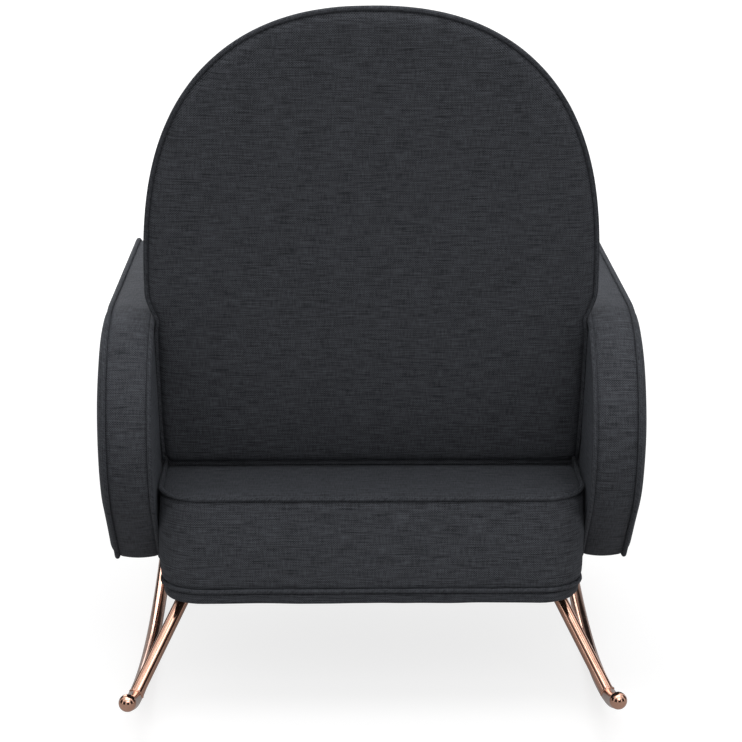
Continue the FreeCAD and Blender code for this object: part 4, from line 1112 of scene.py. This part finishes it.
def seat_cushion():
    """The loose box cushion: crowned top, walls that pull in between the corners."""
    low, high = cushion_low, cushion_high
    inset = 0.0015
    seam_low, seam_high = low.z + 0.0045, high.z - 0.0035
    middle_z = (seam_low + seam_high) / 2
    tall = (seam_high - seam_low) / 2
    builder, layer = cloth_builder()
    outline = rounded_outline(low, high, CUSHION_CORNER, inset=inset, spacing=0.012)
    count = len(outline)
    centre = Vector(((low.x + high.x) / 2, (low.y + high.y) / 2))
    half = Vector(((high.x - low.x) / 2, (high.y - low.y) / 2))

    def pulled(x, y, amount):
        """Draw a wall in between its corners."""
        across = (x - centre.x) / half.x
        along = (y - centre.y) / half.y
        draw_x = amount * max(0.0, 1 - along ** 2) * (abs(across) > 0.75)
        draw_y = amount * max(0.0, 1 - across ** 2) * (abs(along) > 0.75)
        return (x - math.copysign(draw_x, across), y - math.copysign(draw_y, along))

    walls = []
    rows = 12
    for row in range(rows + 1):
        share = row / rows
        bulge = 0.0035 * math.sin(math.pi * share)
        z = seam_low + (seam_high - seam_low) * share
        loop = []
        for step, (x, y) in enumerate(outline):
            out = outward_at(outline, step)
            px, py = pulled(x, y, 0.003)
            loop.append((px + out.x * (bulge - 0.002), py + out.y * (bulge - 0.002), z))
        walls.append(loop)
    spine = ((-0.10, centre.y), (0.10, centre.y))
    edge = [(x, y) for x, y, z in walls[-1]]

    def crown(inward, share, spot):
        return seam_high + 0.0095 * (1 - math.exp(-inward / 0.045)) \
            + 0.0012 * soft_noise((spot.x, spot.y, 0), 0.16, 14.0)

    top, _ = panel_loops(edge, spine, crown, flat, rows=18)
    under, _ = panel_loops(edge, spine,
                           lambda i, s, p: seam_low - 0.0030 * (1 - math.exp(-i / 0.008)),
                           flat, rows=10)
    order = list(reversed(under)) + walls[1:-1] + top
    add_loops(builder, layer, order, [[(0, 0)] * count for _ in order])
    weld_skins(builder)
    piece = loose_piece(builder, "seat_cushion_cover")

    def freedom(point):
        """Held at the two seams, at the zip, and where the cushion rests on the deck."""
        if point.z < seam_low + 0.001:
            return 0.0
        from_top = abs(point.z - seam_high)
        from_low = abs(point.z - seam_low)
        across = (point.x - centre.x) / half.x
        along = (point.y - centre.y) / half.y
        near_wall = 1 - max(abs(across), abs(along))
        from_edge = near_wall * 0.22
        loose = min(1.0, max(from_top, from_edge) / 0.045)
        loose *= min(1.0, from_low / 0.03)
        if along > 0.9 and abs(across) < 0.8:
            loose *= 0.1
        return loose

    swell(piece, 0.0065, 3.5, 0.010, freedom)
    subdivided(piece)
    lay_cloth(piece, Matrix.Identity(3))
    dress(piece, charcoal, "cushion", ["seat_cushion"])
    for word, z_box in (("lower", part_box("cushion_piping_lower")),
                        ("upper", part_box("cushion_piping_upper"))):
        ring = rounded_outline(z_box[0], z_box[1], CUSHION_CORNER, inset=PIPING, spacing=0.009)
        z = (z_box[0].z + z_box[1].z) / 2
        path = []
        for x, y in ring:
            px, py = pulled(x, y, 0.003)
            path.append((px, py, z + 0.0008 * soft_noise((x, y, 0), 0.1, 20.0)))
        middle = Vector((centre.x, centre.y, z))
        path = laid_on_edge(piece, path, middle, 1 if word == "upper" else -1, PIPING * 0.85)
        piping_cord(f"cushion_piping_{word}_cloth", path, PIPING, True,
                    [f"cushion_piping_{word}"], body="cushion", seed=21.0)


seat_cushion()

# ---------------------------------------------------------------- welds, staples and stitches


ROLLING, LEG_TURN = 1.400, 0.010
LEG_TOP, FOOT_REACH = (0.272, 0.211), 0.320
BEAD, RIPPLE, BEAD_STEPS, BEAD_SIDES = 0.0017, 0.18, 36, 8


def weld_beads():
    """A raised bead where each leg meets its rail, and a plain ring under its plate."""
    builder = bmesh.new()
    plate_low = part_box("leg_plate_rear_left")[0].z
    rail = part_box("rocker_rail_left")
    rail_x = (rail[0].x + rail[1].x) / 2
    rail_turn = (rail[1].x - rail[0].x) / 2
    foot_z = ROLLING - math.sqrt((ROLLING - rail_turn) ** 2 - FOOT_REACH ** 2)
    top = Vector((LEG_TOP[0], LEG_TOP[1], plate_low))
    foot = Vector((rail_x, FOOT_REACH, foot_z))
    way = (top - foot).normalized()
    first = way.orthogonal().normalized()
    second = way.cross(first)

    def height_on_rail(offset):
        """How far up the leg's axis a line at this offset leaves the rail."""
        low, high = 0.0, 0.06
        for _ in range(24):
            middle = (low + high) / 2
            p = foot + offset + way * middle
            from_line = ROLLING - rail_turn - math.hypot(p.y, ROLLING - p.z)
            if math.hypot(p.x - rail_x, from_line) < rail_turn:
                low = middle
            else:
                high = middle
        return high

    for side in (1, -1):
        for end in (1, -1):
            rings = []
            for ring_word in ("foot", "top"):
                path = []
                for step in range(BEAD_STEPS):
                    angle = 2 * math.pi * step / BEAD_STEPS
                    offset = (first * math.cos(angle) + second * math.sin(angle)) * LEG_TURN
                    if ring_word == "foot":
                        p = foot + offset + way * height_on_rail(offset)
                    else:
                        share = (plate_low - 0.0008 - foot.z - offset.z) / way.z
                        p = foot + offset + way * share
                    path.append(p)
                rings.append(path)
            for path in rings:
                rows = []
                for step, p in enumerate(path):
                    ahead = (path[(step + 1) % BEAD_STEPS] - path[step - 1]).normalized()
                    outward = (p - foot - way * (p - foot).dot(way)).normalized()
                    third = ahead.cross(outward)
                    bead = BEAD * (1 + RIPPLE * math.sin(step * 2 * math.pi / 3))
                    row = []
                    for corner in range(BEAD_SIDES):
                        angle = 2 * math.pi * corner / BEAD_SIDES
                        q = p + (outward * math.cos(angle) + third * math.sin(angle)) * bead
                        row.append(builder.verts.new((q.x * side, q.y * end, q.z)))
                    rows.append(row)
                for step in range(BEAD_STEPS):
                    after = (step + 1) % BEAD_STEPS
                    for corner in range(BEAD_SIDES):
                        beyond = (corner + 1) % BEAD_SIDES
                        builder.faces.new([rows[step][corner], rows[step][beyond],
                                           rows[after][beyond], rows[after][corner]])
    return finish_piece(builder, "leg_weld_beads", rose_gold, "chair")


def points_mesh(name, spots):
    """Loose edges, one for each small fastening, pointing the way it lies."""
    mesh = bpy.data.meshes.new(name)
    points, edges = [], []
    for place, way in spots:
        edges.append((len(points), len(points) + 1))
        points += [tuple(place), tuple(Vector(place) + Vector(way))]
    mesh.from_pydata(points, edges, [])
    holder = bpy.data.objects.new(name, mesh)
    scene.collection.objects.link(holder)
    return holder


def bars_along_edges(name, spots, thick, finish, body):
    """Geometry Nodes: a round bar on every edge, realised into one plain mesh."""
    holder = points_mesh(name, spots)
    tree = bpy.data.node_groups.new(name + "_tree", "GeometryNodeTree")
    tree.interface.new_socket("Geometry", in_out="INPUT", socket_type="NodeSocketGeometry")
    thick_input = tree.interface.new_socket("Thickness", in_out="INPUT",
                                            socket_type="NodeSocketFloat")
    tree.interface.new_socket("Geometry", in_out="OUTPUT", socket_type="NodeSocketGeometry")
    given = tree.nodes.new("NodeGroupInput")
    result = tree.nodes.new("NodeGroupOutput")
    lines = tree.nodes.new("GeometryNodeMeshToCurve")
    section = tree.nodes.new("GeometryNodeCurvePrimitiveCircle")
    section.inputs["Resolution"].default_value = 6
    bars = tree.nodes.new("GeometryNodeCurveToMesh")
    bars.inputs["Fill Caps"].default_value = True
    real = tree.nodes.new("GeometryNodeRealizeInstances")
    paint = tree.nodes.new("GeometryNodeSetMaterial")
    paint.inputs["Material"].default_value = finish
    link = tree.links.new
    link(given.outputs["Geometry"], lines.inputs["Mesh"])
    link(lines.outputs["Curve"], bars.inputs["Curve"])
    link(given.outputs["Thickness"], section.inputs["Radius"])
    link(section.outputs["Curve"], bars.inputs["Profile Curve"])
    link(bars.outputs["Mesh"], real.inputs["Geometry"])
    link(real.outputs["Geometry"], paint.inputs["Geometry"])
    link(paint.outputs["Geometry"], result.inputs["Geometry"])
    modifier = holder.modifiers.new("bars", "NODES")
    modifier.node_group = tree
    modifier[thick_input.identifier] = thick
    with_modifiers_applied(holder)
    return dress(holder, finish, body)


def staples_and_stitches():
    cover_low, cover_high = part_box("dust_cover")
    ring = even_spacing(rounded_outline(cover_low, cover_high, 0.050, inset=0.012), 0.034)
    spots = []
    for step, (x, y) in enumerate(ring):
        after = ring[(step + 1) % len(ring)]
        way = Vector((after[0] - x, after[1] - y, 0)).normalized() * 0.0095
        spots.append(((x, y, cover_low.z - 0.0004), way))
    bars_along_edges("dust_cover_staples", spots, 0.0005, zinc_steel, "chair")
    tape_low, tape_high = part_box("cushion_zip")
    spots = []
    for height in (tape_low.z + 0.0014, tape_high.z - 0.0014):
        count = 110
        for step in range(count):
            x = tape_low.x + 0.002 + (tape_high.x - tape_low.x - 0.004) * step / count
            spots.append(((x, tape_high.y + 0.0002, height), (0.0026, 0, 0)))
    bars_along_edges("cushion_zip_stitches", spots, 0.00028, stitch_thread, "cushion")


weld_beads()
staples_and_stitches()
